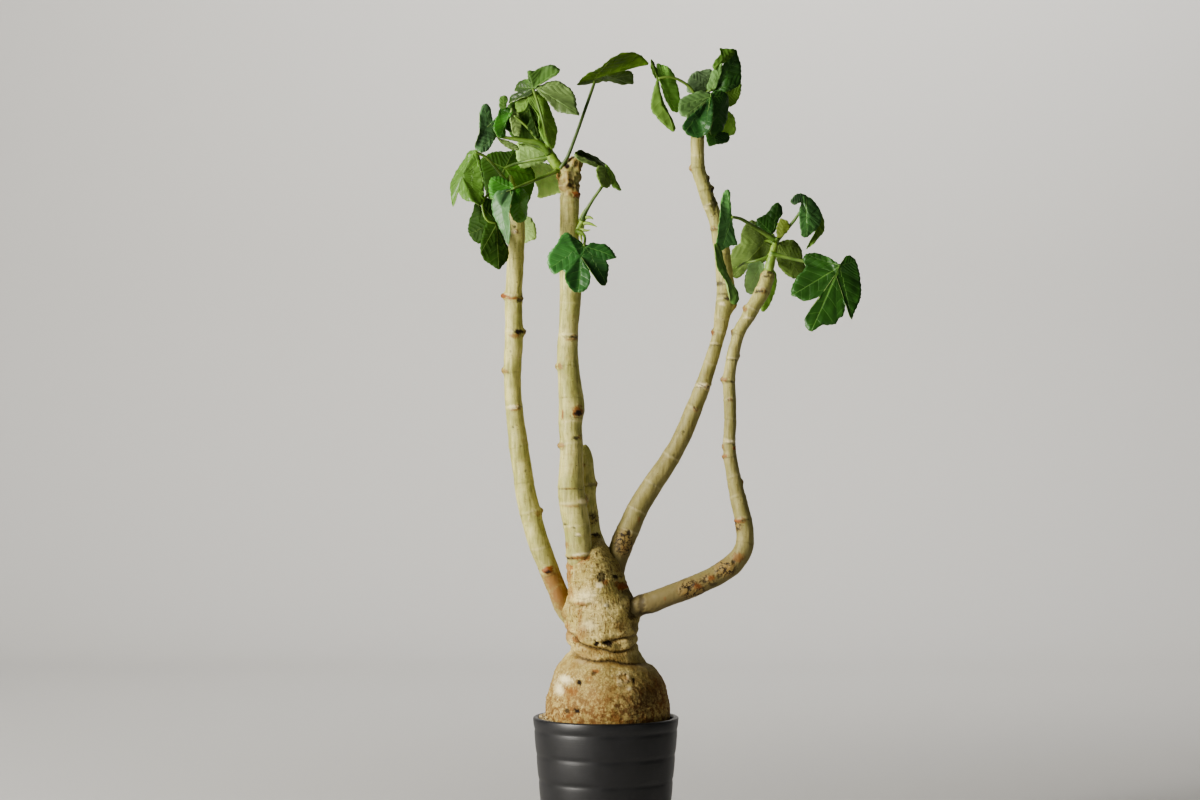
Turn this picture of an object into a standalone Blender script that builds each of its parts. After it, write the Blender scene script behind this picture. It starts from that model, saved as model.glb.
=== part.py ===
# A jatropha with a swollen base, growing in a ridged round pot.
#
# Four pruned branches and a short stub rise from the knobbly trunk. Green shoots on the
# branches carry palmate leaves on thin stalks. The pot's base is centred on the origin, Z is
# up, and the plant faces -Y. Sizes here are millimetres, and newSolid turns them to metres.

import math

import bpy
from mathutils import Vector

# Driving dimensions
MM = 0.001
POT_HEIGHT = 128.0
POT_RIM_RADIUS = 60.0
POT_BASE_RADIUS = 48.5
POT_WALL = 4.6
POT_FLOOR = 7.0
POT_RIM_BAND = 10.0
POT_BAND_PITCH = 20.8
POT_GROOVE_DEPTH = 1.3
POT_BAND_BULGE = 0.8
POT_SIDES = 32
DRAIN_RADIUS = 4.5
DRAIN_CIRCLE = 27.0
DRAIN_COUNT = 3

GAP = 0.3
SOIL_LEVEL = 121.5
SOIL_HEAP = 4.0
SOIL_SIDES = 28

CAUDEX_SIDES = 28
STEM_SIDES = 10
SHOOT_SIDES = 8
STALK_SIDES = 5
STALK_RADIUS = 1.15
CROWN_DEPTH = 1.6
BLADE_THICKNESS = 0.8

# Rings of the trunk and bulb from the top down: height, centre X, half width in X, half
# depth in Y, centre Y, and how far the ring's right side stands above its left side
CAUDEX_RINGS = [
    (274.0, -5.0, 7.0, 9.0, 3.0, 0.0),
    (270.5, -6.0, 13.0, 15.0, 2.0, 1.0),
    (264.0, -7.5, 19.0, 20.0, 1.0, 3.0),
    (256.0, -8.0, 23.0, 23.0, 0.0, 3.0),
    (247.0, -7.0, 25.0, 24.0, -0.5, 2.0),
    (236.0, -6.0, 26.0, 25.0, -1.0, 0.0),
    (226.0, -4.5, 28.0, 26.0, -1.0, 0.0),
    (217.0, -4.0, 31.5, 27.0, -1.0, 0.0),
    (209.0, -4.0, 31.5, 27.5, -1.0, 0.0),
    (201.0, -4.0, 30.0, 27.0, -1.0, 0.0),
    (194.0, -3.5, 29.5, 27.0, -1.5, 1.0),
    (189.5, -2.5, 27.5, 25.5, -1.5, 2.0),
    (185.5, -1.5, 29.5, 27.5, -1.5, 0.0),
    (180.5, -0.5, 29.5, 28.0, -1.5, -3.0),
    (176.5, 1.5, 28.5, 27.0, -1.0, -5.0),
    (173.0, 1.5, 35.0, 33.0, -0.5, -5.0),
    (166.5, 1.5, 41.0, 39.0, 0.0, -2.0),
    (156.5, 1.5, 46.0, 44.0, 0.0, 0.0),
    (145.0, 1.5, 49.5, 48.0, 0.0, 0.0),
    (132.0, 1.5, 51.0, 50.5, 0.0, 0.0),
    (121.0, 1.0, 49.0, 49.0, 0.0, 0.0),
    (110.0, 0.5, 44.0, 44.0, 0.0, 0.0),
    (100.0, 0.0, 36.0, 36.0, 0.0, 0.0),
    (91.0, 0.0, 24.0, 24.0, 0.0, 0.0),
    (86.0, 0.0, 11.0, 11.0, 0.0, 0.0),
]

# Knobs raised on the trunk and bulb: bearing in degrees (0 is +X, -90 the front), height,
# how far they stand out, and how wide they are
CAUDEX_KNOBS = [
    (178.0, 217.0, 3.0, 8.0),
    (0.0, 216.0, 2.5, 9.0),
    (-38.0, 232.0, -2.0, 7.0),
    (-60.0, 187.0, -2.5, 6.0),
    (2.0, 176.0, 3.0, 7.0),
    (-95.0, 152.0, 1.2, 12.0),
    (140.0, 205.0, 2.0, 10.0),
    (70.0, 222.0, 2.5, 10.0),
    (60.0, 160.0, 1.5, 14.0),
]

# Branch centre lines from the foot up: X, Y, Z and radius
STEM_LINES = {
    "stem_left": [
        (-33.0, 0.0, 214.0, 7.4),
        (-39.3, -1.0, 230.2, 7.8),
        (-43.5, -1.0, 241.0, 8.1),
        (-47.5, -1.0, 251.0, 8.3),
        (-54.9, -1.0, 269.6, 8.5),
        (-60.7, 0.0, 289.3, 8.7),
        (-65.3, 0.0, 309.0, 8.4),
        (-68.6, 1.0, 328.8, 7.9),
        (-71.4, 1.0, 348.5, 8.1),
        (-73.9, 1.0, 368.3, 7.4),
        (-76.0, 1.0, 388.0, 7.0),
        (-76.8, 2.0, 407.8, 7.0),
        (-75.6, 2.0, 437.4, 7.4),
        (-76.0, 2.0, 467.0, 7.2),
        (-74.8, 2.0, 495.0, 6.8),
        (-73.5, 2.0, 519.7, 6.9),
        (-73.9, 2.0, 534.5, 7.2),
        (-74.0, 2.0, 546.0, 6.8),
        (-74.4, 2.0, 552.6, 5.2),
    ],
    "stem_middle": [
        (-20.5, -12.0, 246.0, 9.6),
        (-21.2, -12.5, 256.0, 10.3),
        (-22.0, -13.0, 265.3, 10.7),
        (-23.2, -13.0, 281.7, 10.8),
        (-28.1, -12.0, 309.5, 11.1),
        (-28.1, -12.0, 329.1, 9.9),
        (-28.1, -12.0, 348.7, 9.5),
        (-28.9, -11.0, 368.4, 9.6),
        (-28.1, -10.0, 386.0, 10.4),
        (-30.2, -10.0, 407.7, 9.0),
        (-31.4, -9.0, 427.3, 8.6),
        (-30.6, -9.0, 447.0, 7.9),
        (-29.0, -8.0, 476.5, 8.9),
        (-29.8, -7.0, 502.8, 8.2),
        (-30.2, -6.0, 527.5, 7.8),
        (-29.8, -5.0, 545.6, 7.8),
        (-29.8, -4.0, 560.4, 7.9),
        (-29.4, -4.0, 570.3, 8.6),
        (-27.8, -4.0, 578.5, 7.8),
        (-25.3, -4.0, 584.2, 6.2),
        (-24.5, -4.0, 587.5, 3.4),
    ],
    "stem_stub": [
        (-5.5, 6.0, 258.0, 8.2),
        (-7.3, 8.0, 267.5, 7.6),
        (-10.6, 9.0, 279.0, 6.6),
        (-13.1, 9.0, 298.8, 6.3),
        (-14.7, 9.0, 318.6, 6.4),
        (-16.8, 9.0, 338.5, 6.2),
        (-18.4, 9.0, 346.7, 5.4),
        (-19.2, 9.0, 350.8, 3.2),
    ],
    "stem_tall": [
        (6.5, 1.0, 246.0, 8.4),
        (9.0, 2.0, 257.0, 8.8),
        (13.3, 2.0, 269.5, 9.2),
        (17.6, 3.0, 279.3, 9.4),
        (26.5, 4.0, 299.0, 8.7),
        (38.9, 5.0, 318.8, 8.4),
        (52.1, 6.0, 338.5, 7.7),
        (63.2, 6.0, 358.3, 7.2),
        (71.4, 5.0, 378.1, 6.9),
        (79.2, 4.0, 397.9, 6.2),
        (85.7, 2.0, 417.6, 5.6),
        (91.8, 0.0, 437.3, 5.3),
        (94.3, 0.0, 447.2, 5.5),
        (95.7, -1.0, 457.1, 6.5),
        (98.0, -1.0, 466.9, 7.8),
        (98.4, -1.0, 478.4, 7.4),
        (97.1, -1.0, 494.9, 6.7),
        (94.6, -2.0, 516.2, 6.6),
        (90.1, -3.0, 535.9, 5.6),
        (86.8, -3.0, 545.7, 5.8),
        (83.1, -3.0, 555.6, 5.9),
        (79.8, -3.0, 565.4, 5.8),
        (76.5, -3.0, 575.3, 5.6),
        (75.3, -3.0, 587.0, 5.5),
        (75.3, -3.0, 603.2, 5.5),
        (75.7, -3.0, 608.1, 4.2),
    ],
    "stem_curved": [
        (14.0, -5.0, 213.0, 8.2),
        (28.0, -8.0, 219.6, 8.6),
        (37.8, -9.0, 222.5, 8.8),
        (50.9, -10.0, 227.5, 8.5),
        (64.0, -10.0, 232.4, 8.4),
        (79.5, -10.0, 239.0, 8.4),
        (92.7, -10.0, 245.5, 8.4),
        (104.9, -10.0, 254.5, 8.3),
        (112.3, -10.0, 265.2, 7.7),
        (113.9, -10.0, 277.0, 7.1),
        (112.7, -10.0, 289.7, 7.0),
        (107.9, -9.0, 309.3, 6.4),
        (103.8, -9.0, 329.0, 5.6),
        (101.3, -8.0, 348.7, 5.2),
        (101.8, -8.0, 368.3, 4.9),
        (101.8, -8.0, 388.0, 5.1),
        (101.3, -8.0, 407.7, 5.1),
        (104.6, -8.0, 427.3, 4.9),
        (107.1, -7.0, 437.2, 4.8),
        (110.8, -7.0, 447.0, 5.1),
        (117.0, -6.0, 456.9, 5.7),
        (122.4, -5.0, 466.8, 6.0),
        (128.2, -5.0, 476.6, 6.0),
        (132.0, -4.0, 486.5, 5.6),
        (134.0, -3.0, 493.0, 4.8),
    ],
}

# Swollen joints and leaf-scar nubs on the branches: height, bearing in degrees, how far
# they stand out, and how long they are along the branch
STEM_NUBS = {
    "stem_left": [
        (473.5, 180.0, 3.0, 3.5),
        (444.0, 0.0, 2.6, 3.5),
        (412.0, 180.0, 2.0, 4.0),
        (295.0, 0.0, 2.0, 4.0),
    ],
    "stem_middle": [
        (571.0, 180.0, 2.4, 4.0),
        (557.0, -40.0, 1.8, 4.0),
        (416.0, 180.0, 2.0, 4.0),
        (351.0, 180.0, 2.0, 4.0),
        (305.0, -10.0, 1.6, 5.0),
    ],
    "stem_stub": [(318.0, 0.0, 1.2, 4.0)],
    "stem_tall": [
        (579.0, 180.0, 2.0, 3.5),
        (560.0, 0.0, 2.4, 3.5),
        (467.0, 0.0, 1.6, 5.0),
    ],
    "stem_curved": [
        (461.0, 180.0, 1.8, 4.0),
        (442.0, 180.0, 1.8, 3.5),
        (404.5, 180.0, 1.8, 4.0),
        (350.0, 180.0, 1.4, 4.0),
    ],
}

# Green shoots: X, Y, Z and radius, starting inside the branch that carries them
SHOOT_LINES = {
    "shoot_left": [
        (-74.3, 1.0, 546.0, 3.6),
        (-75.5, 0.0, 556.0, 3.4),
        (-77.5, 0.0, 566.0, 2.8),
        (-78.5, 0.0, 573.0, 1.6),
    ],
    "shoot_middle_top": [
        (-31.0, -4.0, 573.0, 3.8),
        (-39.5, -5.0, 580.0, 4.4),
        (-45.0, -6.0, 588.0, 4.2),
        (-48.0, -6.0, 594.5, 3.2),
        (-49.0, -6.0, 598.5, 1.8),
    ],
    "shoot_middle_side": [
        (-27.5, -7.0, 523.0, 3.0),
        (-21.5, -7.5, 528.0, 2.8),
        (-19.5, -8.0, 533.5, 2.4),
        (-18.0, -8.0, 537.5, 1.6),
    ],
    "shoot_tall": [
        (75.5, -3.0, 603.0, 4.0),
        (77.0, -2.5, 614.0, 3.8),
        (79.5, -2.0, 626.0, 3.4),
        (81.0, -2.0, 636.0, 2.8),
        (81.5, -2.0, 641.0, 1.6),
    ],
    "shoot_curved": [
        (132.5, -3.5, 488.0, 4.0),
        (134.5, -3.0, 498.0, 3.9),
        (136.5, -3.0, 506.0, 3.4),
        (138.5, -2.0, 514.0, 2.8),
        (139.5, -2.0, 520.0, 1.6),
    ],
}

# The branch that each shoot grows from
SHOOT_HOSTS = {
    "shoot_left": "stem_left",
    "shoot_middle_top": "stem_middle",
    "shoot_middle_side": "stem_middle",
    "shoot_tall": "stem_tall",
    "shoot_curved": "stem_curved",
}

# Leaves: the shoot that carries each one, the point where its stalk meets the blade, the
# way its upper side faces, its lobes' tips in order round the blade with their half
# widths, points along its stalk from the shoot, how high each lobe arches over its length,
# and how far the lobe's edges fold up towards its upper side
LEAVES = {
    "leaf_left_star": dict(
        shoot="shoot_middle_top",
        joint=(-59, -10, 644),
        face=(0.1, 0.8, 0.5),
        lobes=[
            (-23, -16, 621, 10.0),
            (-38, -8, 660, 6.5),
            (-75, -4, 648, 5.0),
            (-79, -6, 632, 5.5),
            (-47, -12, 593, 9.0),
        ],
        stalk=[(-48, -7, 595), (-52, -19, 614), (-58, -19, 634)],
        arch=0.10,
        fold=-0.15,
    ),
    "leaf_left_upright": dict(
        shoot="shoot_middle_top",
        joint=(-89, -8, 604),
        face=(-0.5, -0.8, 0.1),
        lobes=[
            (-70, -2, 612, 7.0),
            (-84, -4, 637, 6.0),
            (-98, -12, 632, 6.5),
            (-102, -14, 592, 7.5),
            (-71, 0, 588, 6.5),
        ],
        stalk=[(-46, -6, 590), (-61, -4, 597), (-76, -7, 602)],
        arch=0.10,
        fold=-0.25,
    ),
    "leaf_left_outer": dict(
        shoot="shoot_left",
        joint=(-103, -14, 589),
        face=(-0.5, -0.8, 0.3),
        lobes=[
            (-118, -8, 584, 6.0),
            (-126, -20, 549, 8.5),
            (-106, -17, 545, 8.0),
        ],
        stalk=[(-78, 0, 563), (-87, -4, 575), (-96, -10, 585)],
        arch=0.12,
        fold=-0.3,
    ),
    "leaf_left_shaded": dict(
        shoot="shoot_middle_top",
        joint=(-82, 8, 580),
        face=(0.1, 0.9, 0.3),
        lobes=[
            (-73, 12, 595, 8.0),
            (-96, 10, 594, 8.0),
            (-107, 9, 566, 8.0),
            (-96, 7, 541, 9.0),
            (-61, 8, 560, 9.0),
        ],
        stalk=[(-44, -6, 586), (-58, -2, 584), (-71, 3, 582)],
        arch=0.08,
        fold=-0.1,
    ),
    "leaf_left_front": dict(
        shoot="shoot_middle_top",
        joint=(-77, -20, 559),
        face=(-0.2, -0.8, 0.5),
        lobes=[
            (-87, -14, 571, 6.0),
            (-96, -27, 560, 8.0),
            (-80, -31, 512, 9.5),
            (-65, -17, 534, 7.5),
        ],
        stalk=[(-39, -7, 578), (-50, -11, 571), (-64, -17, 564)],
        arch=0.12,
        fold=-0.2,
    ),
    "leaf_left_low": dict(
        shoot="shoot_left",
        joint=(-97, -8, 535),
        face=(0.0, 0.9, 0.3),
        lobes=[
            (-108, -3, 547, 8.0),
            (-110, -12, 519, 8.0),
            (-87, -13, 495, 10.5),
            (-85, -13, 512, 6.0),
        ],
        stalk=[(-76, 0, 558), (-91, -3, 560), (-102, -5, 551)],
        arch=0.05,
        fold=-0.1,
    ),
    "leaf_left_behind": dict(
        shoot="shoot_left",
        joint=(-78, 20, 549),
        face=(0.1, 0.9, 0.3),
        lobes=[
            (-88, 22, 522, 8.0),
            (-64, 18, 516, 8.0),
            (-56, 16, 530, 8.0),
        ],
        stalk=[(-75, 1, 553), (-76, 8, 558), (-77, 16, 555)],
        arch=0.05,
        fold=-0.1,
    ),
    "leaf_left_inner": dict(
        shoot="shoot_middle_top",
        joint=(-63, 18, 580),
        face=(0.0, 0.9, 0.3),
        lobes=[
            (-44, 19, 586, 7.0),
            (-35, 20, 560, 11.0),
            (-54, 16, 555, 7.5),
        ],
        stalk=[(-43, -5, 584), (-49, 6, 580), (-57, 14, 580)],
        arch=0.05,
        fold=-0.1,
    ),
    "leaf_left_centre": dict(
        shoot="shoot_middle_top",
        joint=(-70, 10, 598),
        face=(0.0, 0.9, 0.3),
        lobes=[
            (-83, 10, 602, 5.0),
            (-69, 9, 582, 7.0),
            (-49, 8, 589, 8.0),
            (-55, 10, 600, 6.0),
        ],
        stalk=[(-46, -5, 591), (-57, 3, 596), (-65, 7, 598)],
        arch=0.05,
        fold=-0.1,
    ),
    "leaf_middle_high": dict(
        shoot="shoot_middle_top",
        joint=(-10, -4, 647),
        face=(0.0, 0.0, 1.0),
        lobes=[
            (23, -26, 647, 8.0),
            (36, 2, 665, 8.5),
            (6, 23, 666, 8.0),
            (-25, 13, 655, 7.0),
            (-25, -10, 646, 6.0),
        ],
        stalk=[(-42, -5, 584), (-36, -8, 600), (-21, -8, 628)],
        arch=0.18,
        fold=-0.1,
    ),
    "leaf_middle_right": dict(
        shoot="shoot_middle_side",
        joint=(3, -6, 574),
        face=(0.2, 0.0, 1.0),
        lobes=[
            (13, -12, 559, 5.5),
            (5, 14, 583, 6.0),
            (-11, 8, 588, 6.0),
            (-27, -12, 591, 6.5),
            (-3, -22, 562, 6.5),
        ],
        stalk=[(-18, -8, 536), (-12, -8, 548), (-4, -8, 563)],
        arch=0.12,
        fold=-0.15,
    ),
    "leaf_middle_front": dict(
        shoot="shoot_middle_side",
        joint=(-17, -24, 513),
        face=(0.0, -0.8, 0.5),
        lobes=[
            (9, -26, 506, 9.5),
            (-1, -32, 480, 9.0),
            (-23, -36, 475, 10.5),
            (-45, -34, 493, 10.5),
            (-34, -26, 524, 8.0),
        ],
        stalk=[(-21, -8, 529), (-18, -13, 524), (-16, -19, 518)],
        arch=0.12,
        fold=-0.2,
    ),
    "leaf_tall_hanging": dict(
        shoot="shoot_tall",
        joint=(42, -6, 651),
        face=(-0.2, 0.9, 0.3),
        lobes=[
            (36, -5, 666, 3.5),
            (56, -12, 607, 9.5),
            (62, -2, 625, 8.5),
        ],
        stalk=[(80, -2, 627), (70, -6, 639), (56, -7, 650)],
        arch=0.05,
        fold=-0.25,
    ),
    "leaf_tall_front": dict(
        shoot="shoot_tall",
        joint=(86, -16, 638),
        face=(0.0, -0.8, 0.5),
        lobes=[
            (97, -18, 637, 4.5),
            (100, -20, 610, 8.5),
            (88, -27, 595, 8.0),
            (66, -29, 603, 10.0),
            (60, -23, 623, 8.0),
        ],
        stalk=[(81, -3, 633), (83, -8, 638), (85, -13, 640)],
        arch=0.12,
        fold=-0.2,
    ),
    "leaf_tall_top": dict(
        shoot="shoot_tall",
        joint=(91, -4, 645),
        face=(0.3, -0.8, 0.0),
        lobes=[
            (93, 1, 672, 6.5),
            (107, -5, 677, 8.0),
            (112, -7, 652, 9.0),
        ],
        stalk=[(81, -2, 636), (86, -2, 640)],
        arch=0.05,
        fold=0.2,
    ),
    "leaf_tall_pale": dict(
        shoot="shoot_tall",
        joint=(83, 2, 647),
        face=(-0.2, -0.9, 0.3),
        lobes=[
            (88, 4, 660, 5.0),
            (81, 3, 661, 7.0),
            (68, -1, 652, 8.0),
        ],
        stalk=[(81, -1, 637), (82, 1, 643)],
        arch=0.10,
        fold=-0.2,
    ),
    "leaf_tall_behind": dict(
        shoot="shoot_tall",
        joint=(96, 9, 636),
        face=(0.2, 0.9, 0.2),
        lobes=[
            (111, 12, 650, 6.0),
            (112, 9, 632, 6.5),
            (107, 7, 606, 7.0),
        ],
        stalk=[(81, -1, 633), (86, 4, 635), (91, 7, 636)],
        arch=0.05,
        fold=-0.1,
    ),
    "leaf_curved_upright": dict(
        shoot="shoot_curved",
        joint=(103, -22, 536),
        face=(-0.6, -0.8, 0.0),
        lobes=[
            (98, -25, 559, 7.5),
            (86, -22, 533, 5.0),
            (105, -27, 468, 6.5, -1.0),
        ],
        stalk=[(138, -2, 513), (126, -9, 524), (113, -16, 533)],
        arch=0.12,
        fold=-0.2,
    ),
    "leaf_curved_broad": dict(
        shoot="shoot_curved",
        joint=(112, 13, 498),
        face=(0.0, 0.9, 0.2),
        lobes=[
            (109, 12, 488, 5.0),
            (103, 12, 502, 6.0),
            (113, 15, 532, 10.0),
            (132, 17, 534, 10.0),
            (136, 17, 512, 9.0),
        ],
        stalk=[(135, -2, 501), (124, -2, 505), (113, 2, 504)],
        arch=0.05,
        fold=-0.1,
    ),
    "leaf_curved_pale": dict(
        shoot="shoot_curved",
        joint=(128, 9, 505),
        face=(-0.1, -0.9, 0.2),
        lobes=[
            (134, 12, 481, 5.5),
            (118, 8, 474, 8.5),
            (117, 6, 497, 6.0),
        ],
        stalk=[(136, -2, 507), (134, 4, 509), (131, 7, 508)],
        arch=0.08,
        fold=-0.2,
    ),
    "leaf_curved_dark": dict(
        shoot="shoot_curved",
        joint=(137, 8, 523),
        face=(0.0, -0.9, 0.3),
        lobes=[
            (146, 10, 551, 7.0),
            (131, 12, 547, 6.0),
            (122, 4, 532, 5.0),
        ],
        stalk=[(138, -2, 516), (136, 4, 519)],
        arch=0.08,
        fold=-0.1,
    ),
    "leaf_curved_young": dict(
        shoot="shoot_curved",
        joint=(143, -7, 524),
        face=(0.2, 0.8, 0.3),
        lobes=[
            (152, -9, 532, 5.0),
            (145, -6, 537, 5.0),
        ],
        stalk=[(139, -3, 518), (141, -7, 521)],
        arch=0.08,
        fold=0.3,
    ),
    "leaf_curved_folded": dict(
        shoot="shoot_curved",
        joint=(158, -6, 539),
        face=(0.1, -0.5, 0.8),
        lobes=[
            (151, -12, 549, 5.0),
            (170, 4, 553, 5.0),
            (166, 2, 512, 7.0),
            (161, -12, 520, 7.0),
        ],
        stalk=[(139, -3, 513), (148, -2, 521), (155, -2, 532)],
        arch=0.10,
        fold=-0.1,
    ),
    "leaf_curved_large": dict(
        shoot="shoot_curved",
        joint=(191, -20, 499),
        face=(0.0, -0.85, 0.45),
        lobes=[
            (205, -12, 503, 8.0),
            (201, -27, 453, 9.5),
            (165, -31, 444, 12.5),
            (151, -24, 472, 11.5),
            (159, -15, 505, 7.5),
        ],
        stalk=[(136, -3, 508), (151, -5, 505), (174, -6, 502)],
        arch=0.12,
        fold=-0.15,
    ),
    "leaf_curved_olive": dict(
        shoot="shoot_curved",
        joint=(146, 11, 518),
        face=(0.1, 0.9, 0.2),
        lobes=[
            (162, 15, 518, 7.0),
            (165, 11, 497, 8.5),
            (151, 9, 488, 7.5),
        ],
        stalk=[(137, -2, 510), (141, 6, 514)],
        arch=0.05,
        fold=-0.1,
    ),
    "leaf_curved_strip": dict(
        shoot="shoot_curved",
        joint=(142, 20, 499),
        face=(0.3, 0.9, 0.0),
        lobes=[
            (150, 21, 484, 5.0),
            (135, 19, 461, 6.0),
        ],
        stalk=[(136, -1, 503), (140, 8, 505)],
        arch=0.05,
        fold=-0.1,
    ),
}

# Outline of one half of a lobe: fraction of its length, fraction of its half width
LOBE_OUTLINE = [(0.92, 0.62), (0.68, 1.0)]
BASE_PLACE = 0.32
BASE_WIDTH = 0.75
SINUS_DEPTH = 0.45
STALK_MARGIN = 1.8
BLADE_RINGS = (0.5, 1.0)
FACE_PULL = 0.5
HUB_RADIUS = 7.0
FOLD_ROUND = 0.6
LEAD_SHARE = 2.2
WIDEST_SPREAD = math.radians(300)
SHIELD_GAP = math.radians(75)
BLEND_REACH = 0.8


def clearScene():
    for obj in list(bpy.data.objects):
        bpy.data.objects.remove(obj, do_unlink=True)


def newMaterial(name, color, roughness, metallic=0.0):
    material = bpy.data.materials.new(name)
    material.use_nodes = True
    shader = material.node_tree.nodes["Principled BSDF"]
    shader.inputs["Base Color"].default_value = (*color, 1.0)
    shader.inputs["Roughness"].default_value = roughness
    shader.inputs["Metallic"].default_value = metallic
    return material


def newSolid(name, points, faces, material):
    """Makes one object from points in millimetres."""
    mesh = bpy.data.meshes.new(name)
    mesh.from_pydata([tuple(Vector(p) * MM) for p in points], [], faces)
    mesh.materials.append(material)
    mesh.shade_smooth()
    mesh.set_sharp_from_angle(angle=math.radians(50))
    solid = bpy.data.objects.new(name, mesh)
    bpy.context.scene.collection.objects.link(solid)
    return solid


def applyBoolean(target, other, operation):
    """Joins or cuts target with other, and removes other."""
    modifier = target.modifiers.new(operation.lower(), "BOOLEAN")
    modifier.operation = operation
    modifier.solver = "EXACT"
    modifier.object = other
    bpy.context.view_layer.update()
    graph = bpy.context.evaluated_depsgraph_get()
    mesh = bpy.data.meshes.new_from_object(target.evaluated_get(graph))
    target.modifiers.remove(modifier)
    target.data = mesh
    bpy.data.objects.remove(other, do_unlink=True)


def skinRings(rings, first, last):
    """Joins rings of equal count, and closes both ends onto the points first and last."""
    count = len(rings[0])
    points = [p for ring in rings for p in ring] + [first, last]
    faces = []
    for row in range(len(rings) - 1):
        for i in range(count):
            j = (i + 1) % count
            a = row * count
            b = a + count
            faces.append((a + i, a + j, b + j))
            faces.append((a + i, b + j, b + i))
    start = len(points) - 2
    lastRow = (len(rings) - 1) * count
    for i in range(count):
        j = (i + 1) % count
        faces.append((start, j, i))
        faces.append((start + 1, lastRow + i, lastRow + j))
    return points, faces


def smoothLine(points, steps):
    """A curve through the given points, with steps pieces between each pair."""
    rows = [Vector(p) for p in points]
    line = []
    for i in range(len(rows) - 1):
        before = rows[max(i - 1, 0)]
        start = rows[i]
        end = rows[i + 1]
        after = rows[min(i + 2, len(rows) - 1)]
        for step in range(steps):
            t = step / steps
            line.append(
                0.5
                * (
                    2 * start
                    + (end - before) * t
                    + (2 * before - 5 * start + 4 * end - after) * t**2
                    + (3 * start - before - 3 * end + after) * t**3
                )
            )
    line.append(rows[-1])
    return line


def tubeRings(centres, radii, sides, bump=None):
    """Rings round a line of centres, turned to follow it; bump adds to the radius."""
    rings = []
    side = Vector((1, 0, 0))
    for i, centre in enumerate(centres):
        along = centres[min(i + 1, len(centres) - 1)] - centres[max(i - 1, 0)]
        along.normalize()
        side = (side - along * side.dot(along)).normalized()
        up = along.cross(side)
        ring = []
        for k in range(sides):
            angle = 2 * math.pi * k / sides
            out = side * math.cos(angle) + up * math.sin(angle)
            extra = bump(centre, out) if bump else 0.0
            ring.append(centre + out * (radii[i] + extra))
        rings.append(ring)
    return rings


def tubeSolid(name, centres, radii, sides, material, bump=None):
    rings = tubeRings(centres, radii, sides, bump)
    points, faces = skinRings(rings, centres[0], centres[-1])
    return newSolid(name, points, faces, material)


def lengthened(centres, grown):
    """The same line, reaching further at both ends."""
    if grown == 0.0:
        return centres
    first = centres[0] - (centres[1] - centres[0]).normalized() * 2 * grown
    last = centres[-1] + (centres[-1] - centres[-2]).normalized() * 2 * grown
    return [first] + centres[1:-1] + [last]


def stemSolid(name, line, material, grown=0.0):
    """A bark-covered branch with its nubs; grown makes it thicker all round."""
    nubs = STEM_NUBS[name]
    rows = list(line)
    for height, bearing, stand, length in nubs:
        for z in (height - length, height, height + length):
            rows = withRowAt(rows, z)
    centres = lengthened([Vector(row[:3]) for row in rows], grown)
    radii = [row[3] + grown for row in rows]

    def bump(centre, out):
        total = 0.0
        for height, bearing, stand, length in nubs:
            facing = Vector((math.cos(math.radians(bearing)), math.sin(math.radians(bearing)), 0))
            near = math.exp(-(((centre.z - height) / (0.6 * length)) ** 2))
            total += stand * near * max(out.dot(facing), 0.0) ** 3
        return total

    return tubeSolid(name, centres, radii, STEM_SIDES, material, bump)


def withRowAt(rows, z):
    """Adds a point to a rising line at height z, unless one is there already."""
    for i in range(len(rows) - 1):
        low = Vector(rows[i])
        high = Vector(rows[i + 1])
        if low.z < z < high.z:
            if min(z - low.z, high.z - z) < 1.2:
                return rows
            added = low.lerp(high, (z - low.z) / (high.z - low.z))
            return rows[: i + 1] + [tuple(added)] + rows[i + 1 :]
    return rows


def caudexRings(grown=0.0):
    """Rings of the trunk and bulb from the bottom up; grown pushes them outwards."""
    rings = []
    for height, centreX, halfX, halfY, centreY, rise in reversed(CAUDEX_RINGS):
        ring = []
        for k in range(CAUDEX_SIDES):
            angle = 2 * math.pi * k / CAUDEX_SIDES
            stand = grown
            for bearing, z, out, width in CAUDEX_KNOBS:
                turn = (math.degrees(angle) - bearing + 180) % 360 - 180
                across = math.radians(turn) * halfX
                stand += out * math.exp(-((across / width) ** 2) - ((height - z) / width) ** 2)
            x = centreX + (halfX + stand) * math.cos(angle)
            y = centreY + (halfY + stand) * math.sin(angle)
            ring.append(Vector((x, y, height + rise * math.cos(angle))))
        rings.append(ring)
    return rings


def caudexSolid(name, material, grown=0.0):
    rings = caudexRings(grown)
    low = Vector((CAUDEX_RINGS[-1][1], CAUDEX_RINGS[-1][4], CAUDEX_RINGS[-1][0] - 2.0 - grown))
    high = Vector((CAUDEX_RINGS[0][1], CAUDEX_RINGS[0][4], CAUDEX_RINGS[0][0] + 1.5 + grown))
    points, faces = skinRings(rings, low, high)
    return newSolid(name, points, faces, material)


def potWallRadius(z):
    """The pot's outer radius at height z, without its grooves."""
    return POT_BASE_RADIUS + (POT_RIM_RADIUS - POT_BASE_RADIUS) * z / POT_HEIGHT


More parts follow.
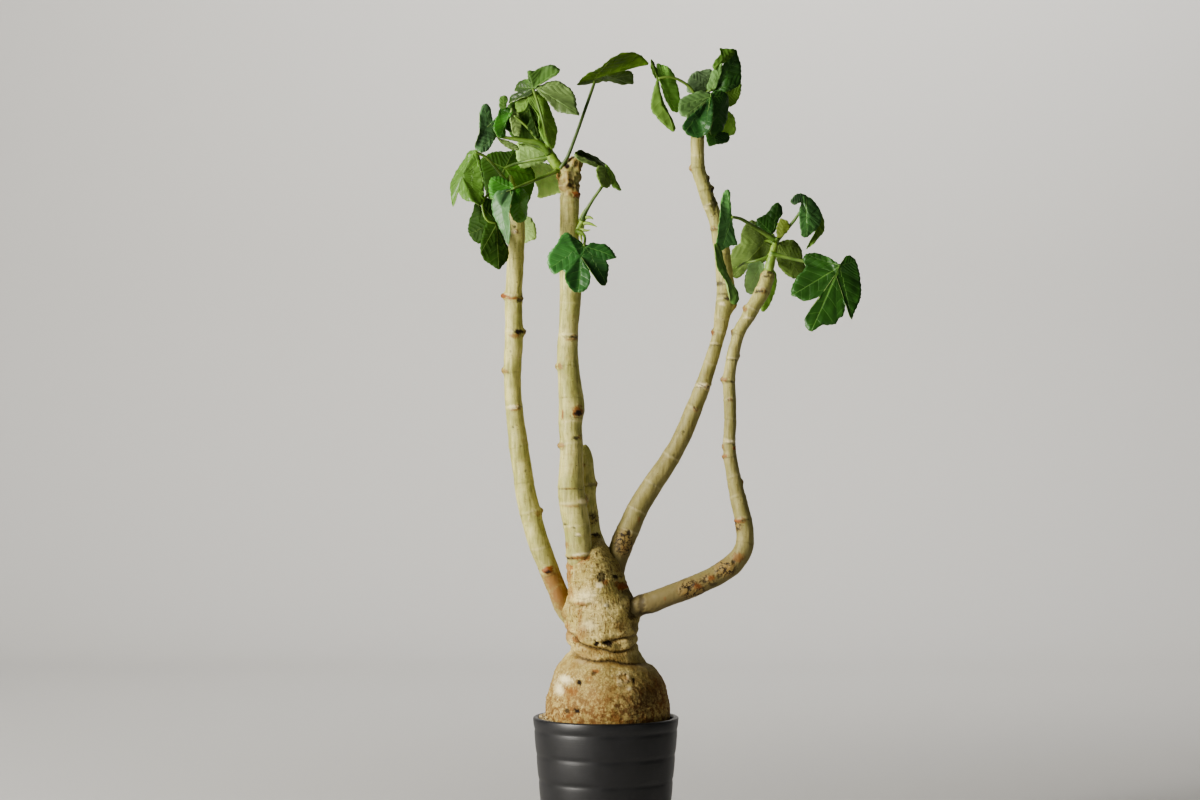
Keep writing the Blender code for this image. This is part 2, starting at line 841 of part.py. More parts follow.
def potProfile():
    """The pot's section from the floor's centre up the inside, over the rim and down outside."""
    inside = [
        (potWallRadius(POT_FLOOR) - POT_WALL - 3.0, POT_FLOOR),
        (potWallRadius(POT_FLOOR) - POT_WALL, POT_FLOOR + 3.0),
        (POT_RIM_RADIUS - POT_WALL, POT_HEIGHT - 1.2),
        (POT_RIM_RADIUS - POT_WALL + 1.2, POT_HEIGHT),
        (POT_RIM_RADIUS - 1.2, POT_HEIGHT),
        (POT_RIM_RADIUS, POT_HEIGHT - 1.4),
    ]
    outside = []
    groove = POT_HEIGHT - POT_RIM_BAND
    while groove > 8.0:
        outside.append((potWallRadius(groove + 1.2), groove + 1.2))
        outside.append((potWallRadius(groove) - POT_GROOVE_DEPTH, groove))
        outside.append((potWallRadius(groove - 1.2), groove - 1.2))
        middle = groove - POT_BAND_PITCH / 2
        if middle > 8.0:
            outside.append((potWallRadius(middle) + POT_BAND_BULGE, middle))
        groove -= POT_BAND_PITCH
    foot = [(POT_BASE_RADIUS, 1.5), (POT_BASE_RADIUS - 1.5, 0.0)]
    return inside + outside + foot


def turnedRings(profile, sides):
    rings = []
    for radius, z in profile:
        ring = []
        for k in range(sides):
            angle = 2 * math.pi * k / sides
            ring.append(Vector((radius * math.cos(angle), radius * math.sin(angle), z)))
        rings.append(ring)
    return rings


def makePot(material):
    rings = turnedRings(potProfile(), POT_SIDES)
    floorTop = Vector((0, 0, POT_FLOOR))
    floorUnder = Vector((0, 0, 0))
    points, faces = skinRings(rings, floorTop, floorUnder)
    faces = [tuple(reversed(face)) for face in faces]
    pot = newSolid("pot", points, faces, material)
    for k in range(DRAIN_COUNT):
        angle = 2 * math.pi * k / DRAIN_COUNT + math.pi / 2
        x = DRAIN_CIRCLE * math.cos(angle)
        y = DRAIN_CIRCLE * math.sin(angle)
        centres = [Vector((x, y, -5)), Vector((x, y, POT_FLOOR + 5))]
        drill = tubeSolid("drill", centres, [DRAIN_RADIUS] * 2, 12, material)
        applyBoolean(pot, drill, "DIFFERENCE")
    return pot


def makeSoil(material):
    """Grit that fills the pot, with a plain hole for the bulb."""
    rings = []
    inner = potWallRadius(POT_FLOOR) - POT_WALL - GAP
    bottom = [
        (inner - 3.4, POT_FLOOR + GAP),
        (inner, POT_FLOOR + 3.0 + GAP),
    ]
    rings += turnedRings(bottom, SOIL_SIDES)
    bulb = caudexRings(GAP)
    heights = [row[0] for row in reversed(CAUDEX_RINGS)]

    def heap(angle):
        return SOIL_HEAP * (0.5 - 0.5 * math.cos(angle)) ** 2 + 0.7 * math.sin(5 * angle)

    def bulbRing(index, lift=None):
        ring = []
        for k in range(SOIL_SIDES):
            point = bulb[index][k]
            ring.append(Vector((point.x, point.y, point.z if lift is None else lift(k))))
        return ring

    wallRing = []
    for k in range(SOIL_SIDES):
        angle = 2 * math.pi * k / SOIL_SIDES
        z = SOIL_LEVEL + 0.8 * heap(angle)
        radius = potWallRadius(z) - POT_WALL - GAP - 0.4
        wallRing.append(Vector((radius * math.cos(angle), radius * math.sin(angle), z)))
    rings.append(wallRing)
    level = heights.index(121.0)
    top = bulbRing(level + 1, lambda k: SOIL_LEVEL + heap(2 * math.pi * k / SOIL_SIDES))
    rings.append(top)
    for index in range(level, -1, -1):
        rings.append(bulbRing(index))
    under = Vector((0, 0, POT_FLOOR + GAP))
    hollow = Vector((0, 0, heights[0] - 2.0 - GAP))
    points, faces = skinRings(rings, under, hollow)
    return newSolid("soil", points, faces, material)


def deeper(point):
    """A leaf's point with the crown's depth from front to back taken into account."""
    return Vector((point[0], point[1] * CROWN_DEPTH, point[2]))


def facingOf(spans, i, face, closed):
    """The way a lobe faces: square to it, and level with the lobes beside it."""
    along = spans[i].normalized()
    normal = face * FACE_PULL
    if i > 0 or closed:
        normal += spans[i - 1].normalized().cross(along)
    if i + 1 < len(spans) or closed:
        normal += along.cross(spans[(i + 1) % len(spans)].normalized())
    return (normal - along * normal.dot(along)).normalized()


def lobeFrames(leaf):
    """Each lobe's axes, length and half width in space, and its bearing in the flat blade."""
    joint = deeper(leaf["joint"])
    face = Vector(leaf["face"]).normalized()
    lobes = [tuple(row) + (0.0,) * (5 - len(row)) for row in leaf["lobes"]]
    spans = [deeper(row) - joint for row in lobes]
    turn = sum(spans[i].cross(spans[i + 1]).dot(face) for i in range(len(spans) - 1))
    if turn < 0:
        lobes.reverse()
        spans.reverse()
    count = len(lobes)
    leads = []
    for i, span in enumerate(spans):
        side = facingOf(spans, i, face, False).cross(span.normalized())
        leads.append(span + side * LEAD_SHARE * lobes[i][4])
    angles = [leads[i].angle(leads[i + 1]) for i in range(count - 1)]
    around = leads[0].angle(leads[-1])
    shield = sum(angles) > math.pi and around < SHIELD_GAP
    fit = min(1.0, WIDEST_SPREAD / sum(angles))
    if shield:
        fit = 2 * math.pi / (sum(angles) + around)
    angles = [angle * fit for angle in angles]
    behind = 2 * math.pi - sum(angles)
    if sum(angles) > math.pi and not shield:
        behind = min(behind, around)
    closed = behind < math.radians(120)
    bearing = -sum(angles) / 2
    frames = []
    for i, span in enumerate(spans):
        left = angles[i - 1] if i > 0 else behind
        right = angles[i] if i < count - 1 else behind
        widest = math.tan(min(0.49 * min(left, right), 1.2)) * LOBE_OUTLINE[-1][0] * span.length
        normal = facingOf(spans, i, face, closed)
        frames.append(
            dict(
                span=span,
                normal=normal,
                side=normal.cross(span.normalized()),
                length=span.length,
                width=min(lobes[i][3], widest),
                sway=lobes[i][4],
                bearing=bearing,
                left=left,
                right=right,
                behind=behind,
                shield=shield,
            )
        )
        if i < count - 1:
            bearing += angles[i]
    return joint, frames


def lobePoint(frame, leaf, ahead, across):
    """Where a point of one lobe lies from the joint, and the way the lobe faces there."""
    u = max(ahead, 0.0) / frame["length"]
    bend = frame["normal"] * leaf["arch"] * frame["length"] + frame["side"] * frame["sway"]
    along = (frame["span"] + bend * 4 * (1 - 2 * u)).normalized()
    side = frame["normal"].cross(along).normalized()
    up = along.cross(side)
    place = frame["span"] * u + bend * 4 * u * (1 - u) + along * min(ahead, 0.0)
    rounded = math.sqrt(across**2 + FOLD_ROUND**2)
    place += side * across + up * leaf["fold"] * (rounded - FOLD_ROUND)
    return place, up - side * leaf["fold"] * across / rounded


def bladePoint(joint, frames, leaf, x, y):
    """Where the flat blade's point x, y lies in space, and the way it faces there."""
    bearing = math.atan2(y, x)
    total = Vector((0, 0, 0))
    facing = Vector((0, 0, 0))
    middle = Vector((0, 0, 0))
    share = 0.0
    for frame in frames:
        turn = (bearing - frame["bearing"] + math.pi) % (2 * math.pi) - math.pi
        reach = BLEND_REACH * (frame["right"] if turn > 0 else frame["left"])
        weight = max(0.0, 1 - abs(turn) / reach) ** 2 + 1e-6
        cosine = math.cos(frame["bearing"])
        sine = math.sin(frame["bearing"])
        place, up = lobePoint(frame, leaf, x * cosine + y * sine, y * cosine - x * sine)
        total += place * weight
        facing += up * weight
        middle += frame["normal"]
        share += weight
    outwards = min(1.0, math.hypot(x, y) / HUB_RADIUS)
    facing = middle.normalized().lerp(facing.normalized(), outwards)
    return joint + total / share, facing.normalized()


def bladeOutline(frames):
    """Points round the flat blade, starting beside the stalk."""
    outline = []
    for i, frame in enumerate(frames):
        right = frames[i + 1] if i + 1 < len(frames) else None
        turn = frame["bearing"]
        length = frame["length"]
        width = frame["width"]

        def flat(ahead, across):
            x = ahead * math.cos(turn) - across * math.sin(turn)
            y = ahead * math.sin(turn) + across * math.cos(turn)
            return (x, y)

        base = BASE_PLACE * length
        spread = min(BASE_WIDTH * width, base * math.tan(min(0.4 * frame["behind"], 1.3)))
        if i == 0 and not frame["shield"]:
            outline.append(flat(base, -spread))
        for u, w in reversed(LOBE_OUTLINE):
            outline.append(flat(u * length, -w * width))
        outline.append(flat(length, 0.0))
        for u, w in LOBE_OUTLINE:
            outline.append(flat(u * length, w * width))
        if right is None and not frame["shield"]:
            outline.append(flat(base, spread))
            outline.append((-STALK_MARGIN, 0.0))
            continue
        middle = math.pi if right is None else (turn + right["bearing"]) / 2
        radius = SINUS_DEPTH * min(length, (right or frames[0])["length"])
        outline.append((radius * math.cos(middle), radius * math.sin(middle)))
    return outline


def makeBlade(name, leaf, material):
    """A thin closed blade, with its two faces split into triangles alike."""
    joint, frames = lobeFrames(leaf)
    outline = bladeOutline(frames)
    count = len(outline)
    middle = sum((frame["normal"] for frame in frames), Vector((0, 0, 0))).normalized()
    top = [joint]
    facing = [middle]
    for t in BLADE_RINGS:
        for x, y in outline:
            point, normal = bladePoint(joint, frames, leaf, x * t, y * t)
            top.append(point)
            facing.append(normal)
    faces = []
    for i in range(count):
        j = (i + 1) % count
        faces.append((0, 1 + i, 1 + j))
        for row in range(len(BLADE_RINGS) - 1):
            a = 1 + row * count
            b = a + count
            faces.append((a + i, b + i, b + j))
            faces.append((a + i, b + j, a + j))
    under = [p - n * BLADE_THICKNESS for p, n in zip(top, facing)]
    size = len(top)
    closed = faces + [(c + size, b + size, a + size) for a, b, c in faces]
    rim = 1 + (len(BLADE_RINGS) - 1) * count
    for i in range(count):
        j = (i + 1) % count
        closed.append((rim + i, rim + i + size, rim + j + size))
        closed.append((rim + i, rim + j + size, rim + j))
    stalkEnd = joint - middle * BLADE_THICKNESS * 0.4
    return newSolid(name, top + under, closed, material), stalkEnd


def makeLeaf(name, leaf, material):
    """A blade joined to its stalk, with the stalk's foot cut to sit on the shoot."""
    blade, stalkEnd = makeBlade(name, leaf, material)
    foot = Vector(leaf["stalk"][0])
    centres = smoothLine([foot] + [deeper(row) for row in leaf["stalk"][1:]] + [stalkEnd], 2)
    radii = [STALK_RADIUS] * len(centres)
    radii[0] = STALK_RADIUS * 1.5
    stalk = tubeSolid(name + "_stalk", centres, radii, STALK_SIDES, material)
    applyBoolean(blade, stalk, "UNION")
    shoot = leaf["shoot"]
    line = SHOOT_LINES[shoot]
    grownShoot = tubeSolid(
        "grown_shoot",
        lengthened([Vector(row[:3]) for row in line], GAP),
        [row[3] + GAP for row in line],
        SHOOT_SIDES,
        material,
    )
    applyBoolean(blade, grownShoot, "DIFFERENCE")
    return blade


def makeStems(material):
    """The branches, with their feet cut to sit on the trunk."""
    for name, line in STEM_LINES.items():
        stem = stemSolid(name, line, material)
        applyBoolean(stem, caudexSolid("grown_caudex", material, GAP), "DIFFERENCE")


def makeShoots(material):
    """The green shoots, with their feet cut to sit on the branches."""
    for name, line in SHOOT_LINES.items():
        centres = [Vector(row[:3]) for row in line]
        radii = [row[3] for row in line]
        shoot = tubeSolid(name, centres, radii, SHOOT_SIDES, material)
        host = SHOOT_HOSTS[name]
        applyBoolean(shoot, stemSolid(host, STEM_LINES[host], material, GAP), "DIFFERENCE")


def main():
    clearScene()
    blackPot = newMaterial("matte_black_pot", (0.025, 0.026, 0.03), 0.45)
    grit = newMaterial("pale_grit", (0.55, 0.46, 0.3), 0.95)
    bark = newMaterial("pale_bark", (0.52, 0.42, 0.24), 0.8)
    greenShoot = newMaterial("green_shoot", (0.2, 0.36, 0.06), 0.6)
    greenLeaf = newMaterial("green_leaf", (0.08, 0.22, 0.03), 0.5)
    makePot(blackPot)
    makeSoil(grit)
    caudexSolid("caudex", bark)
    makeStems(bark)
    makeShoots(greenShoot)
    for name, leaf in LEAVES.items():
        makeLeaf(name, leaf, greenLeaf)


main()
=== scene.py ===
import math

import bmesh
import bpy
import numpy as np
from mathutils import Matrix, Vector, noise


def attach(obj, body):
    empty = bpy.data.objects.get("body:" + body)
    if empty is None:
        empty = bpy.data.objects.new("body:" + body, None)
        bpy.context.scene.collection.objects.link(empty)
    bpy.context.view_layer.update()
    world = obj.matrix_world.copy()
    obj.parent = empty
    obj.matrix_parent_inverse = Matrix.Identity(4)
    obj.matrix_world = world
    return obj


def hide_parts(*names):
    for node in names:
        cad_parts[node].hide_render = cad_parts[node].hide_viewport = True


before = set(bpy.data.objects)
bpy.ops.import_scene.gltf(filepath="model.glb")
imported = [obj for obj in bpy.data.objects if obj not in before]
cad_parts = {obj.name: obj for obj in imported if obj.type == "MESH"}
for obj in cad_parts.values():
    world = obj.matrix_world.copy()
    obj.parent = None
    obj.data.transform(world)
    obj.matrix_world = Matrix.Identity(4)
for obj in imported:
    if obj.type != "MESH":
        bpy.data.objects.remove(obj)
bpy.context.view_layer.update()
mm = 0.001
curveSteps = 8
plain = (1, 1, 1)  # the stretch of noise that is the same in every direction
print("frame loaded")


# Small helpers

def deselectAll():
    for obj in list(bpy.context.selected_objects):
        obj.select_set(False)


def makeActive(obj):
    deselectAll()
    obj.select_set(True)
    bpy.context.view_layer.objects.active = obj


def startEdit():
    bpy.ops.object.mode_set(mode="EDIT")
    bpy.ops.mesh.select_all(action="SELECT")


def applyModifier(obj, modifier):
    makeActive(obj)
    bpy.ops.object.modifier_apply(modifier=modifier.name)


def shadeSoft(obj, degrees):
    makeActive(obj)
    bpy.ops.object.shade_smooth_by_angle(angle=math.radians(degrees))


# one material and smooth shading for a whole piece
def dress(piece, material):
    piece.data.materials.clear()
    piece.data.materials.append(material)
    makeActive(piece)
    bpy.ops.object.shade_smooth()


def joined(pieces):
    makeActive(pieces[0])
    for piece in pieces[1:]:
        piece.select_set(True)
    bpy.ops.object.join()
    return pieces[0]


# a curve through given points, with steps pieces between each pair
def smoothLine(points, steps=curveSteps):
    rows = [Vector(p) for p in points]
    line = []
    for i in range(len(rows) - 1):
        before, start = rows[max(i - 1, 0)], rows[i]
        end, after = rows[i + 1], rows[min(i + 2, len(rows) - 1)]
        for step in range(steps):
            t = step / steps
            line.append(0.5 * (2 * start + (end - before) * t
                               + (2 * before - 5 * start + 4 * end - after) * t ** 2
                               + (3 * start - before - 3 * end + after) * t ** 3))
    line.append(rows[-1])
    return line


# the same curve with its points a set distance apart
def evenLine(points, spacing):
    line = smoothLine(points)
    lengths = [0.0]
    for a, b in zip(line, line[1:]):
        lengths.append(lengths[-1] + (b.xyz - a.xyz).length)
    count = max(3, round(lengths[-1] / spacing))
    wanted = np.linspace(0, lengths[-1], count + 1)
    columns = [np.interp(wanted, lengths, [p[k] for p in line]) for k in range(len(line[0]))]
    return [Vector(row) for row in zip(*columns)]


# how far along a line each of its points lies
def runAlong(rows):
    return np.concatenate([[0], np.cumsum(np.linalg.norm(np.diff(rows, axis=0), axis=1))])


# a round tube along a line of x, y, z and radius in millimetres
def sweepTube(name, line, sides):
    curve = bpy.data.curves.new(name, "CURVE")
    curve.dimensions = "3D"
    curve.bevel_depth = mm
    curve.bevel_resolution = sides // 2 - 2
    curve.use_fill_caps = True
    spline = curve.splines.new("POLY")
    spline.points.add(len(line) - 1)
    for point, place in zip(spline.points, line):
        point.co = (*(place.xyz * mm), 1)
        point.radius = place[3]
    tube = bpy.data.objects.new(name, curve)
    bpy.context.scene.collection.objects.link(tube)
    makeActive(tube)
    bpy.ops.object.convert(target="MESH")
    tube = bpy.context.view_layer.objects.active
    tube.name = name
    startEdit()
    bpy.ops.mesh.remove_doubles(threshold=0.000001)
    bpy.ops.mesh.normals_make_consistent(inside=False)
    bpy.ops.object.mode_set(mode="OBJECT")
    return tube


# which of a line's centres lies nearest to each place
def nearestRows(centres, places):
    best = np.zeros(len(places), int)
    batch = 4000
    for start in range(0, len(places), batch):
        part = places[start:start + batch]
        gaps = ((part[:, None, :] - centres[None, :, :]) ** 2).sum(2)
        best[start:start + batch] = gaps.argmin(1)
    return best


def coordinates(obj):
    places = np.zeros(len(obj.data.vertices) * 3)
    obj.data.vertices.foreach_get("co", places)
    return places.reshape(-1, 3) / mm


def putCoordinates(obj, places):
    obj.data.vertices.foreach_set("co", (places * mm).ravel())
    obj.data.update()


def storeColour(obj, name, values):
    attribute = obj.data.color_attributes.new(name, "FLOAT_COLOR", "POINT")
    rows = np.ones((len(values), 4), np.float32)
    rows[:, :values.shape[1]] = values
    attribute.data.foreach_set("color", rows.ravel())


def noiseOf(places, scale, seed, octaves):
    shift = Vector((seed, seed * 1.7, -seed))
    return np.array([noise.fractal(Vector(p) * scale + shift, 1.0, 2.0, octaves) for p in places])


# noise by name, from a table of stretch, scale, seed and octaves
def noisesOf(places, table):
    return {name: noiseOf(places * stretch, scale, seed, octaves)
            for name, (stretch, scale, seed, octaves) in table.items()}


# 1 where the gap is nothing, and next to nothing past twice the width
def bell(gap, width=1.0):
    return np.exp(-(gap / width) ** 2)


# 0 up to start, 1 from full on
def ramp(value, start, full):
    return np.clip((value - start) / (full - start), 0, 1)


# Camera, stage and light

view = {
    "place": (-0.0048, -2.33, 0.388),
    "lens": 85.0,
    "sensorWidth": 36.0,
    "columns": 1200,
    "rows": 800,
}


def makeCamera():
    camera = bpy.data.cameras.new("camera")
    camera.lens = view["lens"]
    camera.sensor_width = view["sensorWidth"]
    holder = bpy.data.objects.new("camera", camera)
    holder.location = view["place"]
    holder.rotation_euler = (math.pi / 2, 0, 0)
    bpy.context.scene.collection.objects.link(holder)
    bpy.context.scene.camera = holder


stage = {
    "halfWidth": 4.0,
    "front": -4.0,
    "wall": 2.4,
    "sweep": 0.6,
    "arcSteps": 16,
    "height": 3.2,
    "colour": (0.62, 0.61, 0.59),
    "roughness": 0.9,
    "shine": 0.2,
}


def makeStage():
    deselectAll()
    bpy.ops.mesh.primitive_plane_add(size=2, location=(0, 0, 0))
    floor = bpy.context.active_object
    floor.name = "studioSweep"
    mesh = bmesh.new()
    profile = [(stage["front"], 0.0), (stage["wall"] - stage["sweep"], 0.0)]
    for i in range(1, stage["arcSteps"] + 1):
        turn = math.pi / 2 * i / stage["arcSteps"]
        profile.append((stage["wall"] - stage["sweep"] * (1 - math.sin(turn)),
                        stage["sweep"] * (1 - math.cos(turn))))
    profile.append((stage["wall"], stage["height"]))
    rows = [[mesh.verts.new((side * stage["halfWidth"], y, z)) for side in (-1, 1)] for y, z in profile]
    for low, high in zip(rows, rows[1:]):
        mesh.faces.new((low[0], low[1], high[1], high[0]))
    mesh.to_mesh(floor.data)
    mesh.free()
    shadeSoft(floor, 60)
    paint = Paint("studioPaint")
    floor.data.materials.append(paint.finish(stage["colour"], stage["roughness"], stage["shine"]))


lights = {
    "key": {"place": (-1.88, -1.15, 0.95), "size": (0.70, 1.3), "power": 92, "colour": (1.0, 0.97, 0.91)},
    "fill": {"place": (1.6, -2.0, 0.8), "size": (1.4, 1.4), "power": 3.0, "colour": (1.0, 0.98, 0.94)},
    "back": {"place": (-0.7, 0.5, 2.2), "size": (1.2, 1.2), "power": 5, "colour": (1.0, 0.99, 0.96)},
    "backdrop": {"place": (0.5, 1.0, 1.9), "size": (1.8, 0.7), "power": 34, "colour": (1.0, 0.99, 0.97),
                 "aim": (0.1, 2.8, 1.2)},
}
aimAt = (0.0, 0.0, 0.36)
sky = {"level": 0.085, "colour": (0.97, 0.98, 1.0, 1)}


def makeLights():
    for name, facts in lights.items():
        lamp = bpy.data.lights.new(name, "AREA")
        lamp.shape = "RECTANGLE"
        lamp.size, lamp.size_y = facts["size"]
        lamp.energy = facts["power"]
        lamp.color = facts["colour"]
        holder = bpy.data.objects.new(name, lamp)
        holder.location = facts["place"]
        target = Vector(facts.get("aim", aimAt))
        holder.rotation_euler = (target - holder.location).to_track_quat("-Z", "Y").to_euler()
        bpy.context.scene.collection.objects.link(holder)
    world = bpy.data.worlds.new("studio")
    world.use_nodes = True
    background = world.node_tree.nodes["Background"]
    background.inputs["Color"].default_value = sky["colour"]
    background.inputs["Strength"].default_value = sky["level"]
    bpy.context.scene.world = world
    bpy.context.scene.view_settings.look = "AgX - Medium High Contrast"


# Material helper

# a material whose nodes are added and joined up by short calls
class Paint:
    def __init__(self, name):
        self.material = bpy.data.materials.new(name)
        self.material.use_nodes = True
        self.nodes = self.material.node_tree.nodes
        self.links = self.material.node_tree.links
        self.shader = self.nodes["Principled BSDF"]

    # an input takes a value, or a link from another node's output
    def fill(self, node, inputs):
        for name, value in inputs.items():
            socket = node.inputs[name]
            if isinstance(value, bpy.types.NodeSocket):
                self.links.new(value, socket)
            elif socket.type == "RGBA":
                socket.default_value = (*value, 1)
            else:
                socket.default_value = value

    def mapping(self, stretch=(1, 1, 1)):
        place = self.nodes.new("ShaderNodeTexCoord")
        node = self.nodes.new("ShaderNodeMapping")
        self.fill(node, {"Scale": stretch, "Vector": place.outputs["Object"]})
        return node.outputs["Vector"]

    # noise by name, from a table of stretch, scale, detail and roughness
    def noises(self, table):
        made = {}
        for name, (stretch, scale, detail, roughness) in table.items():
            node = self.nodes.new("ShaderNodeTexNoise")
            self.fill(node, {"Vector": self.mapping(stretch), "Scale": scale, "Detail": detail,
                             "Roughness": roughness})
            made[name] = node.outputs["Fac"]
        return made

    # fine lines between cells, as in a net
    def net(self, scale, width):
        node = self.nodes.new("ShaderNodeTexVoronoi")
        node.feature = "DISTANCE_TO_EDGE"
        self.fill(node, {"Vector": self.mapping(), "Scale": scale})
        return self.step(node.outputs["Distance"], width, 0.0)

    # turns a value between low and high into 0 to 1
    def step(self, value, low, high):
        node = self.nodes.new("ShaderNodeMapRange")
        node.interpolation_type = "SMOOTHSTEP"
        self.fill(node, {"Value": value, "From Min": low, "From Max": high})
        return node.outputs["Result"]

    # turns a value between low and high into one between least and most
    def spread(self, value, low, high, least, most):
        node = self.nodes.new("ShaderNodeMapRange")
        self.fill(node, {"Value": value, "From Min": low, "From Max": high, "To Min": least, "To Max": most})
        return node.outputs["Result"]

    def math(self, operation, *values):
        node = self.nodes.new("ShaderNodeMath")
        node.operation = operation
        self.fill(node, dict(enumerate(values)))
        return node.outputs["Value"]

    def add(self, first, second):
        return self.math("ADD", first, second)

    def times(self, first, second):
        return self.math("MULTIPLY", first, second)

    # how far a value is from one half
    def offMiddle(self, value):
        return self.math("ABSOLUTE", self.math("SUBTRACT", value, 0.5))

    def mix(self, share, first, second, blend="MIX"):
        node = self.nodes.new("ShaderNodeMix")
        node.data_type = "RGBA"
        node.blend_type = blend
        self.fill(node, {"Factor": share, "A": first, "B": second})
        return node.outputs["Result"]

    # lays tones over a colour in turn, each as the share it covers, its strength and the tone
    def layers(self, colour, rows):
        for share, strength, tone in rows:
            colour = self.mix(self.times(share, strength), colour, tone)
        return colour

    # a colour stored on the mesh
    def stored(self, name):
        node = self.nodes.new("ShaderNodeVertexColor")
        node.layer_name = name
        return node.outputs["Color"]

    # the four values stored together as one colour
    def channels(self, name):
        colour = self.stored(name)
        split = self.nodes.new("ShaderNodeSeparateColor")
        self.fill(split, {"Color": colour})
        return [split.outputs[part] for part in ("Red", "Green", "Blue")] + [colour.node.outputs["Alpha"]]

    # the shader's looks, and its bumps as height, strength and distance, each over the one before
    def finish(self, colour, roughness, shine=0.5, bumps=()):
        self.fill(self.shader, {"Base Color": colour, "Roughness": roughness, "Specular IOR Level": shine})
        under = self.shader.inputs["Normal"]
        for height, strength, distance in reversed(bumps):
            node = self.nodes.new("ShaderNodeBump")
            self.fill(node, {"Height": height, "Strength": strength, "Distance": distance})
            self.links.new(node.outputs["Normal"], under)
            under = node.inputs["Normal"]
        return self.material


makeCamera()
makeStage()
makeLights()
print("camera, stage and light")


# Pot

potShape = {
    "height": 128.0,
    "rimRadius": 60.0,
    "baseRadius": 48.5,
    "wall": 4.6,
    "floor": 7.0,
    "rimBand": 10.0,
    "bandPitch": 20.8,
    "lowestGroove": 8.0,
    "grooveDepth": 0.5,
    "bulge": 0.1,
    "sides": 144,
    "poleRadius": 2.0,
    "drainRadius": 4.5,
    "drainCircle": 27.0,
    "drains": 3,
    "drillLength": 30.0,
}
# a groove's section: height from its middle, and share of its depth
grooveRows = [(3.8, 0.04), (2.4, 0.2), (1.1, 0.7), (0.0, 1.0), (-1.1, 0.7), (-2.4, 0.2), (-3.8, 0.04)]


def potWall(z):
    lean = (potShape["rimRadius"] - potShape["baseRadius"]) / potShape["height"]
    return potShape["baseRadius"] + lean * z


def potProfile():
    floor, wall, rim, top = potShape["floor"], potShape["wall"], potShape["rimRadius"], potShape["height"]
    pole, base = potShape["poleRadius"], potShape["baseRadius"]
    bottom = potWall(floor) - wall
    inside = [(pole, floor), (bottom - 3.0, floor), (bottom - 0.8, floor + 0.9), (bottom, floor + 3.0),
              (rim - wall - 0.15, top - 1.6)]
    lip = []
    for i in range(7):
        turn = math.pi * i / 6
        lip.append((rim - wall / 2 - (wall / 2 - 0.1) * math.cos(turn), top - 1.5 + 1.5 * math.sin(turn)))
    outside = []
    groove = top - potShape["rimBand"]
    while groove > potShape["lowestGroove"]:
        for drop, depth in grooveRows:
            outside.append((potWall(groove + drop) - depth * potShape["grooveDepth"], groove + drop))
        for share in (0.3, 0.5, 0.7):  # soft band between the grooves
            z = groove - potShape["bandPitch"] * share
            if z > 5.0:
                outside.append((potWall(z) + potShape["bulge"] * math.sin(math.pi * share), z))
        groove -= potShape["bandPitch"]
    foot = [(base + 0.1, 2.4), (base - 0.2, 1.0), (base - 0.9, 0.25), (base - 1.6, 0.0), (base - 6.0, 0.0),
            (pole, 0.0)]
    return inside + lip + outside + foot


# draws the profile from one vertex, spins it and closes its poles
def spinProfile(name, profile, sides):
    deselectAll()
    bpy.ops.mesh.primitive_plane_add(size=0.001, location=(0, 0, 0))
    piece = bpy.context.active_object
    piece.name = name
    startEdit()
    bpy.ops.mesh.merge(type="CENTER")
    start = profile[0]
    bpy.ops.transform.translate(value=(start[0] * mm, 0, start[1] * mm))
    for low, high in zip(profile, profile[1:]):
        step = ((high[0] - low[0]) * mm, 0, (high[1] - low[1]) * mm)
        bpy.ops.mesh.extrude_region_move(TRANSFORM_OT_translate={"value": step})
    bpy.ops.mesh.select_all(action="SELECT")
    bpy.ops.mesh.spin(steps=sides, angle=2 * math.pi, center=(0, 0, 0), axis=(0, 0, 1))
    bpy.ops.mesh.select_all(action="SELECT")
    bpy.ops.mesh.remove_doubles(threshold=0.00002)
    bpy.ops.object.mode_set(mode="OBJECT")
    mesh = bmesh.new()
    mesh.from_mesh(piece.data)
    rims = [edge for edge in mesh.edges if len(edge.link_faces) == 1]
    bmesh.ops.holes_fill(mesh, edges=rims, sides=0)
    bmesh.ops.recalc_face_normals(mesh, faces=mesh.faces)
    mesh.to_mesh(piece.data)
    mesh.free()
    return piece


glazeNoises = {
    "cloud": (plain, 60, 3, 0.55),
    "grain": (plain, 900, 2, 0.55),
    "lines": ((4, 4, 900), 1, 2, 0.55),
}
glaze = {
    "dark": (0.0035, 0.0036, 0.0045),
    "light": (0.0075, 0.0075, 0.009),
    "roughness": (0.36, 0.46),
    "shine": 0.78,
}


def potPaint():
    paint = Paint("mattBlackGlaze")
    grain = paint.noises(glazeNoises)
    colour = paint.mix(paint.step(grain["cloud"], 0.35, 0.7), glaze["dark"], glaze["light"])
    rough = paint.spread(grain["cloud"], 0, 1, *glaze["roughness"])
    return paint.finish(colour, rough, glaze["shine"],
                        [(grain["grain"], 0.12, 0.0003), (grain["lines"], 0.10, 0.0004)])


def makePot():
    pot = spinProfile("ridgedPot", potProfile(), potShape["sides"])
    for k in range(potShape["drains"]):
        angle = 2 * math.pi * k / potShape["drains"] + math.pi / 2
        reach = potShape["drainCircle"] * mm
        deselectAll()
        bpy.ops.mesh.primitive_cylinder_add(vertices=40, radius=potShape["drainRadius"] * mm,
                                            depth=potShape["drillLength"] * mm,
                                            location=(reach * math.cos(angle), reach * math.sin(angle), 0))
        drill = bpy.context.active_object
        cut = pot.modifiers.new("drain", "BOOLEAN")
        cut.operation = "DIFFERENCE"
        cut.solver = "EXACT"
        cut.object = drill
        applyModifier(pot, cut)
        bpy.data.objects.remove(drill, do_unlink=True)
    pot.data.materials.clear()
    pot.data.materials.append(potPaint())
    shadeSoft(pot, 40)
    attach(pot, "root")
    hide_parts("pot")


makePot()
print("pot")


# Grit

